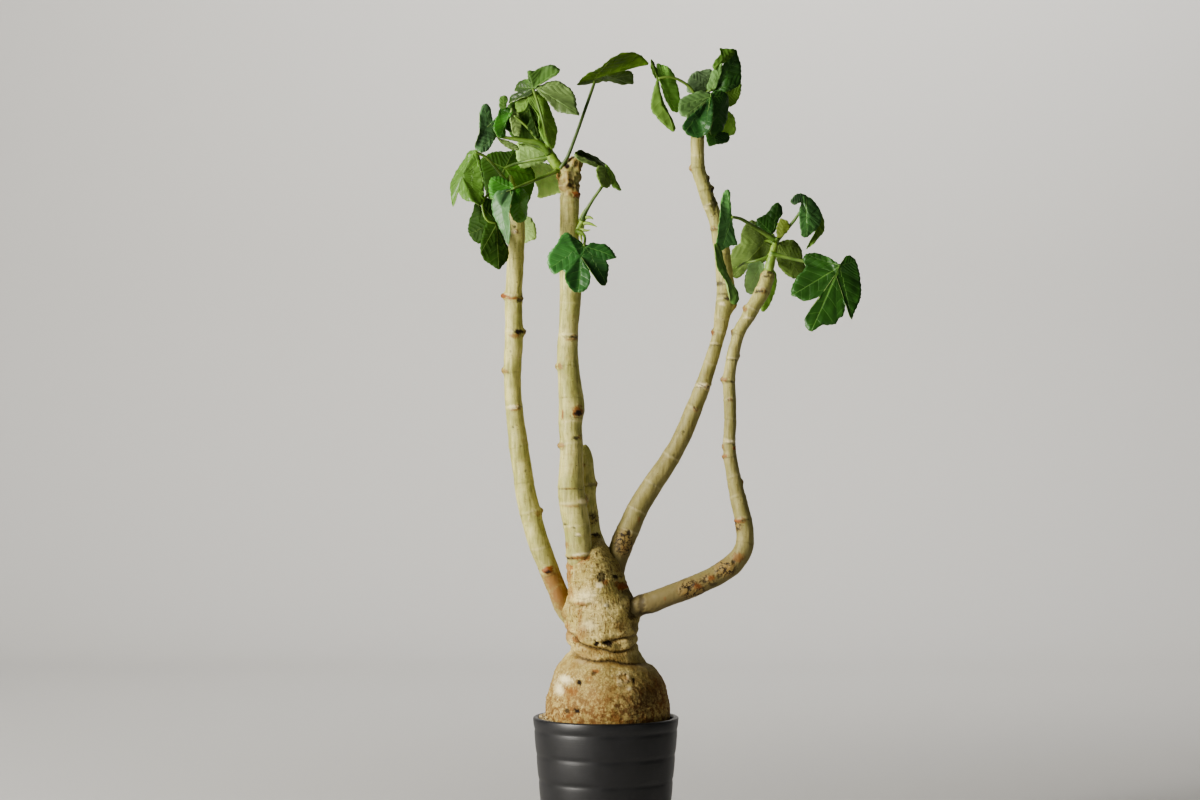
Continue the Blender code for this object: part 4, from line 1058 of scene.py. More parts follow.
branches["stem_tall"] = {
    "line": [(6.5, 1, 246, 8.4), (9, 2, 257, 8.8), (13.3, 2, 269.5, 9.2), (17.6, 3, 279.3, 9.4),
             (26.5, 4, 299, 8.7), (38.9, 5, 318.8, 8.4), (52.1, 6, 338.5, 7.7), (63.2, 6, 358.3, 7.2),
             (71.4, 5, 378.1, 6.9), (79.2, 4, 397.9, 6.2), (85.7, 2, 417.6, 5.6), (91.8, 0, 437.3, 5.3),
             (94.3, 0, 447.2, 5.5), (95.7, -1, 457.1, 6.5), (98, -1, 466.9, 7.8), (98.4, -1, 478.4, 7.4),
             (97.1, -1, 494.9, 6.7), (94.6, -2, 516.2, 6.6), (90.1, -3, 535.9, 5.6), (86.8, -3, 545.7, 5.8),
             (83.1, -3, 555.6, 5.9), (79.8, -3, 565.4, 5.8), (76.5, -3, 575.3, 5.6), (75.3, -3, 587, 5.5),
             (75.3, -3, 603.2, 5.5), (75.7, -3, 608.1, 4.2)],
    "nubs": [(579, 180, 2, 2.6), (568.5, 0, 1.6, 2.2), (560, 0, 2.4, 2.4), (467, 0, 1.6, 3),
             (443, 180, 1.2, 2.4), (400, -60, 0.9, 2), (381, -80, 1.2, 2), (340, 60, 1.4, 2.6),
             (500, 90, 1.5, 2.6), (530, -130, 0.9, 2.2)],
    "rings": [(604, 0.3), (588, 0.2), (578, 0.3), (560, 0.3), (547.5, 0.45), (528, 0.45), (508, 0.25),
              (483, 0.35), (470, 0.35), (455, 0.2), (443, 0.25), (433, 0.4), (418, 0.2), (401, 0.45),
              (398, 0.35), (381, 0.2), (360, 0.2), (340, 0.25), (318, 0.2), (296, 0.25), (280, 0.25)],
    "dark": [(76, 604, 5, 1, 0.7), (84.5, 568.9, 1.6, 2.4, 0.8), (88, 560.7, 2.6, 2.6, 0.9),
             (88.5, 549, 2.2, 8, 0.7), (85, 547.5, 6, 0.8, 0.5), (92, 528, 6, 0.8, 0.5),
             (93, 483.5, 4, 1.6, 0.8), (97, 475, 6, 1.2, 0.6), (101, 471, 3.4, 2.2, 0.9),
             (90, 433, 5, 0.8, 0.5), (79, 398.4, 5.5, 0.6, 0.5), (72.8, 381.4, 1, 1, 0.9),
             (64, 362, 1.2, 1, 0.6), (56, 343, 1.2, 1.2, 0.4), (19, 279, 1.6, 2.2, 0.9),
             (14.5, 277, 3, 0.9, 0.7), (11.5, 270, 3.6, 0.8, 0.85), (12.5, 263.5, 3, 0.8, 0.8),
             (10.5, 267, 1.2, 2.4, 0.6), (40, 318, 1, 1.6, 0.4)],
    "pale": [(80.5, 545, 3, 1.6, 0.5), (95, 467, 3, 1.6, 0.7), (80, 400, 6, 2.2, 0.8)],
    "rust": [(102, 482, 3.4, 2, 0.8), (87.5, 443, 2, 1.6, 0.9), (15, 266.5, 2.8, 2.4, 0.15),
             (27, 290, 1.2, 3, 0.5)],
    "scales": [(14.5, 271, 9, 12, 1)],
    "aged": 0.85,
}
branches["stem_curved"] = {
    "line": [(14, -5, 213, 8.2), (28, -8, 219.6, 8.6), (37.8, -9, 222.5, 8.8), (50.9, -10, 227.5, 8.5),
             (64, -10, 232.4, 8.4), (79.5, -10, 239, 8.4), (92.7, -10, 245.5, 8.4),
             (104.9, -10, 254.5, 8.3), (112.3, -10, 265.2, 7.7), (113.9, -10, 277, 7.1),
             (112.7, -10, 289.7, 7), (107.9, -9, 309.3, 6.4), (103.8, -9, 329, 5.6),
             (101.3, -8, 348.7, 5.2), (101.8, -8, 368.3, 4.9), (101.8, -8, 388, 5.1),
             (101.3, -8, 407.7, 5.1), (104.6, -8, 427.3, 4.9), (107.1, -7, 437.2, 4.8),
             (110.8, -7, 447, 5.1), (117, -6, 456.9, 5.7), (122.4, -5, 466.8, 6), (128.2, -5, 476.6, 6),
             (132, -4, 486.5, 5.6), (134, -3, 493, 4.8)],
    "nubs": [(489, 180, 1.2, 2.2), (477, -90, 0.9, 2), (461, 180, 1.8, 2.4), (442, 180, 1.8, 2.2),
             (404.5, 180, 1.8, 2.4), (388, -90, 0.8, 1.6), (350, 180, 1.4, 2.4), (342, 180, 1.2, 2.2),
             (289.5, -100, 0.9, 2.2), (425, 20, 1.2, 2.2), (368, 60, 1.2, 2.2), (320, 0, 1.2, 2.4)],
    "rings": [(490, 0.3), (477, 0.35), (462, 0.3), (455.4, 0.3), (442, 0.25), (421, 0.35), (404, 0.35),
              (388, 0.2), (372, 0.2), (355, 0.35), (352.5, 0.3), (342, 0.25), (325, 0.2), (308, 0.25),
              (289.5, 0.25), (272, 0.2)],
    # the last two dark marks, along the foot where it meets the trunk, are painted shadow
    "dark": [(125.5, 476.8, 4.2, 1.2, 0.9), (131.5, 489.5, 3, 1.2, 0.8), (134.5, 492.5, 2.6, 1.4, 0.8),
             (104.2, 442.3, 1.4, 1.6, 0.5), (103, 420.9, 5, 0.7, 0.5), (101.5, 403, 5, 0.8, 0.5),
             (100.2, 388, 0.8, 0.8, 0.9), (101.3, 352.6, 5, 0.6, 0.5), (106.5, 287.5, 1.2, 1, 0.9),
             (104, 256, 2, 1.4, 0.8), (93, 244, 2.4, 1.2, 0.7), (80, 240, 2.2, 1.2, 0.8),
             (69, 235, 2, 1.2, 0.7), (88, 237.5, 3, 1.4, 0.5), (33, 213, 9, 2, 0.7),
             (29, 222, 2.6, 9, 0.6)],
    "rust": [(114.4, 462, 1.6, 1.8, 0.6), (97.5, 404.4, 1.6, 1.6, 0.7), (105, 348.5, 1.4, 1.6, 1),
             (97.4, 342, 1.4, 1.4, 0.8), (108.5, 289.3, 2.8, 1.6, 0.9), (108, 259, 5, 4, 0.6),
             (86, 243, 3.4, 1.6, 0.7), (75, 236, 3.6, 2, 0.6), (48, 226, 1.2, 2, 0.4)],
    "pale": [(117, 455.4, 5, 0.8, 0.6), (101.3, 354, 5, 1.4, 0.7)],
    "tan": [(99, 250, 4, 2.6, 0.8), (64, 231, 2.6, 1.4, 0.8)],
    "scales": [(70, 233.5, 13, 9, 1), (97, 250.5, 10, 8, 1), (84, 242, 7, 5, 0.8), (107.5, 286, 3.5, 6, 1)],
    "aged": 0.7,
}

branchShape = {
    "sides": 60,
    "spacing": 0.95,
    "grain": 0.16,
    "gnarlReach": 6.0,
    "oldFoot": (285, 225),
    "ageFading": (540, 350),
    "leastAge": 0.4,
    "softEdge": (1.5, 1.2),
    "rise": {"dark": (-0.55, math.inf), "pale": (0.4, math.inf), "rust": (0.4, math.inf)},
    "scaleStand": 0.5,
    "curlWidth": 0.05,
    "curlDepth": 1.5,
    "knotStand": 2.0,
}
# a node's widths by its length, and its heights by its stand
nubShape = {
    "swelling": 0.75,
    "rimWidth": 0.22,
    "hollow": 0.32,
    "hollowDepth": 0.45,
    "collar": 0.4,
    "collarTurn": 1.1,
    "collarLevel": 1.3,
    "foldBelow": 1.25,
    "leastForFold": 1.1,
}
# a growth ring's roll lies above its groove
ringShape = {
    "rollAbove": 0.8,
    "rollStand": 0.9,
    "grooveBelow": 0.6,
    "grooveWidth": 0.5,
    "grooveDepth": 0.8,
}
branchNoises = {
    "fine": (plain, 0.45, 5.0, 3),
    "ragged": (plain, 0.9, 17.0, 2),
    "streak": ((1, 1, 0.2), 0.8, 9.0, 2),
    "broad": (plain, 0.07, 2.0, 2),
    "curls": (plain, 0.34, 31.0, 2),
    "knots": (plain, 0.17, 31.0, 2),
}


# each node: a swollen collar on one side, with the raised rim and the hollow of an old leaf scar
def addNubs(bark, tube, rows):
    for height, bearing, high, length in rows:
        turn = (tube["around"] - math.radians(bearing) + math.pi) % (2 * math.pi) - math.pi
        level = (tube["along"] - np.interp(height, tube["heights"], tube["run"])) / length
        reach = np.hypot(turn * tube["radii"] / (1.15 * length), level) * (1 + 0.25 * bark.noise["fine"])
        collar = bell(turn, nubShape["collarTurn"]) * bell(level, nubShape["collarLevel"])
        hollow = nubShape["hollowDepth"] * bell(reach, nubShape["hollow"])
        bark.stand += high * (bell(reach, nubShape["swelling"]) + nubShape["collar"] * collar - hollow)
        bark.mark("rust", 0.75 * bell(reach - nubShape["swelling"], nubShape["rimWidth"]))
        bark.mark("dark", 0.9 * bell(reach, 0.36))
        fold = bell(level + nubShape["foldBelow"], nubShape["rimWidth"]) * bell(turn, 0.9)
        bark.mark("dark", 0.35 * fold * (high > nubShape["leastForFold"]))


# level growth rings, broken and uneven
def addRings(bark, tube, rows):
    around, fine = tube["around"], bark.noise["fine"]
    for height, high in rows:
        wave = 0.7 * np.sin(around + height) + 0.4 * np.sin(2 * around + height * 0.7) + 0.6 * fine
        gap = tube["along"] - np.interp(height, tube["heights"], tube["run"]) + wave
        broken = np.clip(0.35 + 1.1 * np.sin(around + height * 1.7) + 1.5 * bark.noise["broad"], 0, 1)
        roll = ringShape["rollStand"] * bell(gap - ringShape["rollAbove"])
        groove = broken * bell(gap + ringShape["grooveBelow"], ringShape["grooveWidth"])
        bark.stand += high * (roll - ringShape["grooveDepth"] * groove)
        line = broken * bell(gap + ringShape["grooveBelow"], 0.42)
        bark.mark("dark", 2 * high * line * np.clip(0.8 + bark.noise["ragged"], 0, 1))
        bark.mark("pale", high * bell(gap - 1.0, 0.8) * (1 - broken))


# scaly patches: dark curls on raised brown bark
def addScales(bark, rows):
    scaly = np.zeros(len(bark.x))
    curls = bell(bark.noise["curls"], branchShape["curlWidth"])
    for middleX, middleZ, wide, tall, strength in rows:
        reach = bark.reach(middleX, middleZ, wide, tall) * (1 + 0.3 * bark.noise["ragged"])
        share = bark.front * strength * np.clip(2.2 - 2.0 * reach, 0, 1)
        bark.stand += branchShape["scaleStand"] * share * (1 - branchShape["curlDepth"] * curls)
        scaly = np.maximum(scaly, share)
    return scaly


def addGnarls(bark, rows):
    knots = bark.noise["knots"]
    reach = branchShape["gnarlReach"]
    for low, high, amount in rows:
        share = ramp(bark.z, low, low + reach) * ramp(bark.z, high, high - reach)
        bark.stand += branchShape["knotStand"] * amount * share * knots
        bark.mark("tan", np.clip(share * (0.35 + 1.6 * knots), 0, 1) * 0.8)
        bark.mark("dark", np.clip(share * (-knots * 2.4 - 0.35), 0, 1) * 0.6)


def makeBranch(name, detail):
    line = evenLine(detail["line"], branchShape["spacing"])
    piece = sweepTube("bark_" + name, line, branchShape["sides"])
    places = coordinates(piece)
    rows = np.array([tuple(p) for p in line])
    centres = rows[:, :3]
    ring = nearestRows(centres, places)
    radii = rows[ring, 3]
    out = (places - centres[ring]) / np.maximum(radii, 0.1)[:, None]
    run = runAlong(centres)
    tube = {"run": run, "heights": centres[:, 2], "along": run[ring], "radii": radii,
            "around": np.arctan2(out[:, 1], out[:, 0])}
    grain = noisesOf(places, branchNoises)
    z = places[:, 2].copy()
    bark = Bark(places[:, 0].copy(), z, out[:, 1] < 0.25, grain)
    addNubs(bark, tube, detail["nubs"])
    addRings(bark, tube, detail["rings"])
    edge = 1 + 0.45 * grain["fine"] + 0.4 * grain["ragged"]
    bark.spots(detail, edge, branchShape["softEdge"], branchShape["rise"])
    scaly = addScales(bark, detail.get("scales", []))
    addGnarls(bark, detail.get("gnarls", []))
    bark.stand += branchShape["grain"] * (grain["fine"] + 0.7 * grain["streak"]) + 0.45 * grain["broad"]
    putCoordinates(piece, places + out * bark.stand[:, None])
    fading = np.maximum(ramp(z, *branchShape["ageFading"]), branchShape["leastAge"])
    aged = 0.5 * ramp(z, *branchShape["oldFoot"]) + detail["aged"] * fading
    storeColour(piece, "marks", bark.marks[:, :3])
    storeColour(piece, "tones", np.stack([bark.marks[:, 3], aged, scaly], 1))
    dress(piece, branchPaint)
    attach(piece, "root")
    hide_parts(name)


branchTones = {
    "light": (0.60, 0.560, 0.215),
    "green": (0.40, 0.395, 0.125),
    "shade": (0.27, 0.255, 0.080),
    "bright": (0.76, 0.70, 0.36),
    "aged": (0.188, 0.148, 0.060),
}
smoothNoises = {
    "patches": (plain, 42, 5, 0.6),
    "streaks": ((1, 1, 0.12), 480, 4, 0.6),
    "bands": ((0.3, 0.3, 1), 190, 5, 0.65),
    "specks": (plain, 560, 3, 0.7),
    "curls": (plain, 165, 4, 0.6),
}
smoothLooks = {"roughness": 0.55, "shine": 0.35}


def branchBark():
    paint = Paint("smoothPaleBark")
    tones, step = barkColours, paint.step
    grain = paint.noises(smoothNoises)
    dark, rust, pale = paint.channels("marks")[:3]
    tan, aged, scaly = paint.channels("tones")[:3]
    curls = paint.times(step(paint.offMiddle(grain["curls"]), 0.046, 0.018), scaly)
    colour = paint.mix(step(grain["patches"], 0.38, 0.64), branchTones["light"], branchTones["green"])
    colour = paint.layers(colour, [
        (step(grain["streaks"], 0.49, 0.64), 0.72, branchTones["shade"]),
        (step(grain["streaks"], 0.46, 0.30), 0.5, branchTones["bright"]),
        (step(grain["bands"], 0.54, 0.70), 0.45, tones["straw"]),
        (aged, 0.82, branchTones["aged"]),
        (step(grain["specks"], 0.61, 0.71), 0.75, tones["brown"]),
        (tan, 1.0, tones["tan"]),
        (scaly, 0.7, tones["tan"]),
        (curls, 0.95, tones["pit"]),
        (pale, 1.0, tones["chalk"]),
        (rust, 1.0, tones["rust"]),
        (dark, 1.0, tones["pit"]),
    ])
    return paint.finish(colour, smoothLooks["roughness"], smoothLooks["shine"], [
        (grain["streaks"], 0.4, 0.0007),
        (grain["bands"], 0.3, 0.0006),
        (curls, -0.8, 0.0010),
        (grain["specks"], 0.35, 0.0004),
    ])


branchPaint = branchBark()
for branchName, branchDetail in branches.items():
    makeBranch(branchName, branchDetail)
print("branches")


# Green shoots

shootLines = {
    "shoot_left": [(-74.3, 1, 546, 3.6), (-75.5, 0, 556, 3.4), (-77.5, 0, 566, 2.8), (-78.3, 0, 571.5, 2),
                   (-78.5, 0, 573, 0.8)],
    "shoot_middle_top": [(-31, -4, 573, 3.8), (-39.5, -5, 580, 4.4), (-45, -6, 588, 4.2),
                         (-48, -6, 594.5, 3.2), (-48.8, -6, 597.6, 2), (-49, -6, 598.5, 0.8)],
    "shoot_middle_side": [(-27.5, -7, 523, 3), (-21.5, -7.5, 528, 2.8), (-19.5, -8, 533.5, 2.4),
                          (-18.2, -8, 536.9, 1.7), (-18, -8, 537.5, 0.8)],
    "shoot_tall": [(75.5, -3, 603, 4), (77, -2.5, 614, 3.8), (79.5, -2, 626, 3.4), (81, -2, 636, 2.8),
                   (81.4, -2, 640, 1.8), (81.5, -2, 641, 0.8)],
    "shoot_curved": [(132.5, -3.5, 488, 4), (134.5, -3, 498, 3.9), (136.5, -3, 506, 3.4),
                     (138.5, -2, 514, 2.8), (139.3, -2, 519, 1.8), (139.5, -2, 520, 0.8)],
}

# pointed scale leaves at the foot of a side shoot
bractLines = [
    [(-19.5, -9, 533.5, 1.9), (-17, -11, 537, 1.6), (-13.5, -13, 537.5, 1.2), (-10.5, -14, 536, 0.5)],
    [(-20, -9, 531.5, 1.8), (-16.5, -12, 532.8, 1.5), (-12, -14, 531.8, 1.1), (-7.5, -15, 529.6, 0.4)],
    [(-22, -10, 528, 1.7), (-19, -13, 527, 1.4), (-16, -14.5, 526.5, 1), (-12.8, -15, 527, 0.4)],
    [(-23, -10, 527, 1.7), (-21, -13, 523, 1.3), (-20, -14.5, 519.5, 0.9), (-19.6, -15, 516.5, 0.4)],
    [(-21, -9, 532, 1.7), (-20.5, -11, 537, 1.3), (-18.5, -12, 541.5, 0.9), (-16.8, -12.5, 544.5, 0.4)],
    [(-24.5, -9.5, 525, 2.4), (-22, -10.5, 529.5, 2.2), (-19.5, -11, 534, 1.8), (-18.6, -11.5, 537.5, 1)],
]

shootShape = {"sides": 28, "spacing": 0.8, "ringStand": 0.12, "ringPitch": 1.25, "uneven": 0.3}
bractShape = {"sides": 12, "spacing": 0.7}
shootNoises = {
    "patches": (plain, 90, 4, 0.55),
    "streaks": ((1, 1, 0.15), 700, 3, 0.55),
}
shootLooks = {
    "bark": ((0.17, 0.30, 0.035), (0.27, 0.40, 0.075)),
    "bract": ((0.30, 0.46, 0.07), (0.42, 0.58, 0.14)),
    "streak": (0.36, 0.45, 0.12),
    "roughness": 0.45,
    "lightInside": {"Subsurface Weight": 0.15, "Subsurface Radius": (0.002, 0.004, 0.001)},
}


def greenBark(name, dark, light):
    paint = Paint(name)
    grain = paint.noises(shootNoises)
    colour = paint.mix(paint.step(grain["patches"], 0.35, 0.65), dark, light)
    colour = paint.layers(colour, [(paint.step(grain["streaks"], 0.5, 0.7), 0.4, shootLooks["streak"])])
    paint.fill(paint.shader, shootLooks["lightInside"])
    return paint.finish(colour, shootLooks["roughness"], bumps=[(grain["streaks"], 0.3, 0.0004)])


def makeBracts():
    lines = [evenLine(points, bractShape["spacing"]) for points in bractLines]
    bracts = joined([sweepTube("sideShootBracts", line, bractShape["sides"]) for line in lines])
    dress(bracts, greenBark("limeScaleLeaf", *shootLooks["bract"]))
    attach(bracts, "root")


def makeShoots():
    paint = greenBark("youngGreenBark", *shootLooks["bark"])
    for name, points in shootLines.items():
        line = evenLine(points, shootShape["spacing"])
        piece = sweepTube("green_" + name, line, shootShape["sides"])
        places = coordinates(piece)
        stand = shootShape["ringStand"] * np.sin(places[:, 2] * shootShape["ringPitch"])
        stand += shootShape["uneven"] * noiseOf(places, 0.35, 4.0, 2)
        centres = np.array([tuple(p)[:3] for p in line])
        out = places - centres[nearestRows(centres, places)]
        out /= np.maximum(np.linalg.norm(out, axis=1), 0.05)[:, None]
        putCoordinates(piece, places + out * stand[:, None])
        dress(piece, paint)
        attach(piece, "root")
        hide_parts(name)


makeShoots()
makeBracts()
print("shoots")


# Leaves

# Each leaf is one or more sheets. A sheet's points are given as seen from the front, as column and
# row in a view 1200 wide and 800 high, with the depth in millimetres behind the pot's middle.
# joint: where its ribs start; rim: its outline; ribs: the rim points that ribs run to, each with
# a tone, which is painted light and shade on the blade near it, and how far the blade folds up beside it;
# front and back: the colours of the sides.
leaves = {}
leaves["leaf_left_star"] = dict(
    stalks=[[(548, 150, -8, 1.9), (544, 126, -27, 1.2), (538, 104, -25, 1.1), (533, 89, -16, 1.1)]],
    sheets=[dict(
        front="soft", back="pale", joint=(533, 88, -16),
        ribs=[(4, 1, -0.35), (10, 0.9, -0.1), (15, 0.5, -0.1), (20, 0.3, 0.1)],
        rim=[(537, 86, -17), (544, 81.5, -17), (552, 77, -16), (558, 73, -14), (560, 69.5, -12),
             (556, 66, -10), (550, 63.5, -8), (545, 64.5, -7), (539, 68, -8), (533, 71, -10),
             (528, 71, -10), (527.5, 75, -11), (528, 79, -13), (523, 79, -8), (518, 82.5, -5),
             (515.5, 87, -4), (514.5, 91, -6), (518, 92, -11), (512, 95.5, -9), (509.5, 99, -8),
             (509, 103.5, -9), (514, 101, -13), (519, 99, -16), (525, 97, -19), (530, 95, -19),
             (533.5, 91.5, -18)],
    ), dict(
        front="meadow", back="soft", under=True, joint=(532, 92, -15),
        ribs=[(5, 0.9, -0.2)],
        rim=[(533, 92, -15), (529, 95, -15), (523, 97.5, -14), (517, 100.5, -12), (515, 106, -11),
             (518, 112, -12), (523, 111, -14), (527, 106, -15), (531, 99, -16)],
    ), dict(
        front="grey", back="pale", joint=(536, 88, -16), middle=(556, 97, -20),
        ribs=[(10, 1, -0.3), (5, 1.15, -0.1), (14, 0.3, 0.1)],
        rim=[(535, 87, -16), (541, 84.5, -15), (548, 82, -14), (555, 80.5, -13), (560, 81.5, -13),
             (566, 85, -14), (571.5, 89.5, -16), (575, 95, -18), (576.5, 102, -21), (577, 108, -24),
             (579.5, 115, -27), (573, 114.5, -27), (565, 113, -26), (558, 111.5, -25), (553, 107, -24),
             (548, 101.5, -22), (542, 95.5, -20), (537, 91, -17)],
    ), dict(
        front="meadow", back="soft", under=True, joint=(536, 92, -17), middle=(544, 118, -22),
        ribs=[(8, 1.25, -0.12), (15, 0.8, -0.1)],
        rim=[(533, 91, -17), (540, 91, -16), (545.5, 95.5, -15), (549, 104, -15), (552, 112, -15),
             (555, 120, -15), (557.5, 129, -15), (556.5, 139, -16), (553.5, 149, -18), (548, 146, -21),
             (543.5, 140, -22), (540, 133, -23), (539, 124, -24), (538, 115, -23), (534, 108, -21),
             (530, 103, -19), (528, 97, -18)],
    )])
leaves["leaf_left_upright"] = dict(
    stalks=[[(549, 154, -8, 3), (541, 144, -11, 2.7), (526, 141, -11, 2), (511, 138.5, -11, 1.5),
             (497, 136, -13, 1.2)],
            [(541, 144, -11, 1.4), (528, 128, -11, 1.1), (514, 115.5, -12, 0.9)]],
    sheets=[dict(
        front="sheenBluish", back="pale", joint=(496, 136, -13), middle=(486, 128, -15),
        ribs=[(0, 1.25, -0.15), (6, 1.15, 0), (13, 0.85, 0.1)],
        rim=[(482.5, 105, -12), (487, 103.5, -10), (490, 107, -9), (492, 115, -9), (493.5, 123, -10),
             (497, 116, -8), (500, 118, -8), (499, 126, -9), (497, 136, -13), (493.5, 141, -16),
             (491, 146, -18), (487, 151, -20), (482, 152.5, -22), (477, 150.5, -22), (475, 146, -22),
             (477, 139, -21), (479.5, 131, -20), (480, 122, -18), (480, 113, -15)],
    ), dict(
        front="soft", back="soft", under=True, joint=(503, 112, -10), middle=(504, 103, -9),
        ribs=[(1, 1, -0.2)],
        rim=[(500, 97, -8), (504, 95.5, -8), (508, 98, -8), (507, 103, -9), (505.5, 109, -10),
             (501, 111.5, -10), (499, 104, -9)],
    ), dict(
        front="lively", back="pale", joint=(509, 113, -11), middle=(502, 124, -13),
        ribs=[(7, 0.9, -0.3), (0, 0.7, -0.2)],
        rim=[(500, 109, -10), (506, 107.5, -9), (512, 109, -10), (512, 114, -12), (508, 120, -13),
             (506, 127, -12), (505.5, 136, -13), (500, 138, -15), (496, 134, -16), (493.5, 127, -16),
             (495.5, 120, -14), (498, 114, -12)],
    ), dict(
        front="shade", back="deep", under=True, joint=(511, 113, -11), middle=(508, 125, -9),
        ribs=[(4, 0.9, -0.2)],
        rim=[(504, 114, -9), (511, 111.5, -10), (514, 117, -10), (515.5, 125, -9), (515.5, 132, -9),
             (510, 131.5, -8), (504, 128, -8), (502, 121, -8)],
    ), dict(
        front="pale", back="soft", under=True, joint=(512, 112, -11), middle=(516, 123, -10),
        ribs=[(5, 0.9, -0.25)],
        rim=[(511, 108.5, -10), (516, 110.5, -9), (519.5, 114, -9), (521.5, 121, -9), (521.5, 130, -10),
             (519, 136, -11), (513.5, 134.5, -12), (511.5, 127, -12), (510, 118, -12)],
    ), dict(
        front="pale", back="soft", under=True, joint=(498, 139, -11), middle=(508, 144, -10),
        ribs=[(4, 1, -0.2)],
        rim=[(497, 138, -11), (504, 139.5, -10), (511, 142, -9), (518, 146, -8), (518.5, 150, -8),
             (511, 149.5, -9), (504, 145.5, -10)],
    ), dict(
        front="shade", back="soft", under=True, joint=(531, 109, -12), middle=(534, 124, -12),
        ribs=[(5, 1, -0.3)],
        rim=[(529, 108, -12), (533, 111, -11), (536, 118, -11), (539, 126, -11), (540.5, 133, -12),
             (539, 138.5, -12), (535.5, 137.5, -13), (530.5, 132, -13), (527, 127, -13), (530, 119, -12)],
    ), dict(
        front="soft", back="deep", under=True, joint=(530, 108, -3), middle=(526, 122, -1),
        ribs=[(7, 0.8, -0.1), (12, 0.9, -0.1), (3, 0.7, -0.1)],
        rim=[(509, 104, -3), (517, 100.5, -2), (526, 101, -2), (535, 105, -2), (542, 113, -2),
             (546, 122, -2), (547.5, 132, -2), (545, 141, -1), (538, 143.5, 0), (530, 141.5, 1),
             (521, 140, 1), (513, 138.5, 0), (508, 130, -1), (505.5, 121, -2), (506, 111, -3)],
    )])
leaves["leaf_left_outer"] = dict(
    stalks=[[(511, 187, 0, 1.9), (500, 173, -6, 1.3), (487, 158, -14, 1.2), (475, 152, -19, 1.2)]],
    sheets=[dict(
        front="fresh", back="pale", joint=(474, 152, -19), middle=(462, 176, -21),
        ribs=[(7, 0.95, 0.2), (10, 0.9, -0.2), (16, 1, -0.3), (19, 1.1, 0.25), (22, 1, -0.3)],
        rim=[(477, 150, -19), (470, 151, -17), (465, 158, -13), (460, 165, -11), (456, 170.5, -11),
             (454, 175.5, -12), (451.5, 179, -12), (450, 184, -13), (450.2, 192, -15), (451.2, 200, -17),
             (452.3, 206.5, -18), (454.5, 203.5, -20), (455.5, 198, -22), (457.5, 192, -24),
             (459.5, 194.5, -27), (462, 198, -29), (466, 200.5, -32), (471, 201, -34), (476, 203, -34),
             (480.5, 204.5, -32), (483, 200, -28), (484, 194, -25), (484, 186, -22), (483, 175, -20),
             (481, 165, -19), (480, 157, -18)],
    )])
leaves["leaf_left_shaded"] = dict(
    stalks=[[(551, 157, -7, 2.2), (530, 160.5, -3, 1.5), (515, 164, 4, 1.3), (505, 168, 12, 1.2)]],
    sheets=[dict(
        front="shade", back="deep", under=True, joint=(505, 168, 14),
        ribs=[(0, 1.5, -0.1), (4, 1.4, -0.1), (8, 3.6, -0.1), (11, 3.4, -0.1), (15, 1.2, -0.1)],
        rim=[(482, 158, 15), (490, 153, 17), (497, 151, 18), (506, 151.5, 19), (514, 150, 20),
             (519, 153, 20), (523, 160, 18), (530, 166, 18), (535, 175, 17), (534, 186, 15), (531, 196, 13),
             (528, 203, 12), (518, 207, 11), (505, 205, 10), (493, 203, 10), (487, 196, 11), (484, 185, 12),
             (481.5, 172, 13), (480, 163, 14)],
    )])
leaves["leaf_left_front"] = dict(
    stalks=[[(557, 171, -9, 1.9), (543, 177, -16, 1.3), (528, 183, -26, 1.2), (513, 189, -33, 1.1)]],
    sheets=[dict(
        front="lively", back="pale", joint=(513, 189, -33),
        ribs=[(4, 1, -0.2), (7, 1, -0.2)],
        rim=[(514, 188, -33), (510, 181, -28), (504, 177, -25), (497, 175.5, -25), (491, 178, -27),
             (488.5, 184, -31), (489, 192, -35), (491, 199, -38), (496, 197, -39), (502, 193, -38),
             (508, 190.5, -36)],
    ), dict(
        front="sheenBluish", back="pale", joint=(512, 190, -33), middle=(501, 207, -43),
        ribs=[(9, 1, 0)],
        rim=[(513, 189, -33), (503, 190, -37), (496.5, 191.5, -38), (493, 197, -38), (491.5, 206, -38),
             (493, 215, -40), (496, 222, -42), (500, 230, -44), (504, 237, -46), (508, 245, -48),
             (510, 236, -50), (510, 226, -51), (509, 216, -52), (510, 207, -50), (512, 198, -42)],
    ), dict(
        front="lively", back="pale", joint=(511, 190, -33), middle=(519, 203, -36),
        ribs=[(7, 1.2, 0.1), (3, 1.4, 0)],
        rim=[(511, 189, -34), (518, 186.5, -31), (525, 190, -27), (528.5, 197, -24), (527.5, 207, -22),
             (527, 215, -22), (523, 221.5, -26), (517, 222.5, -32), (512, 218, -39), (510, 211, -43),
             (510.5, 203, -42), (511, 196, -38)],
    )])
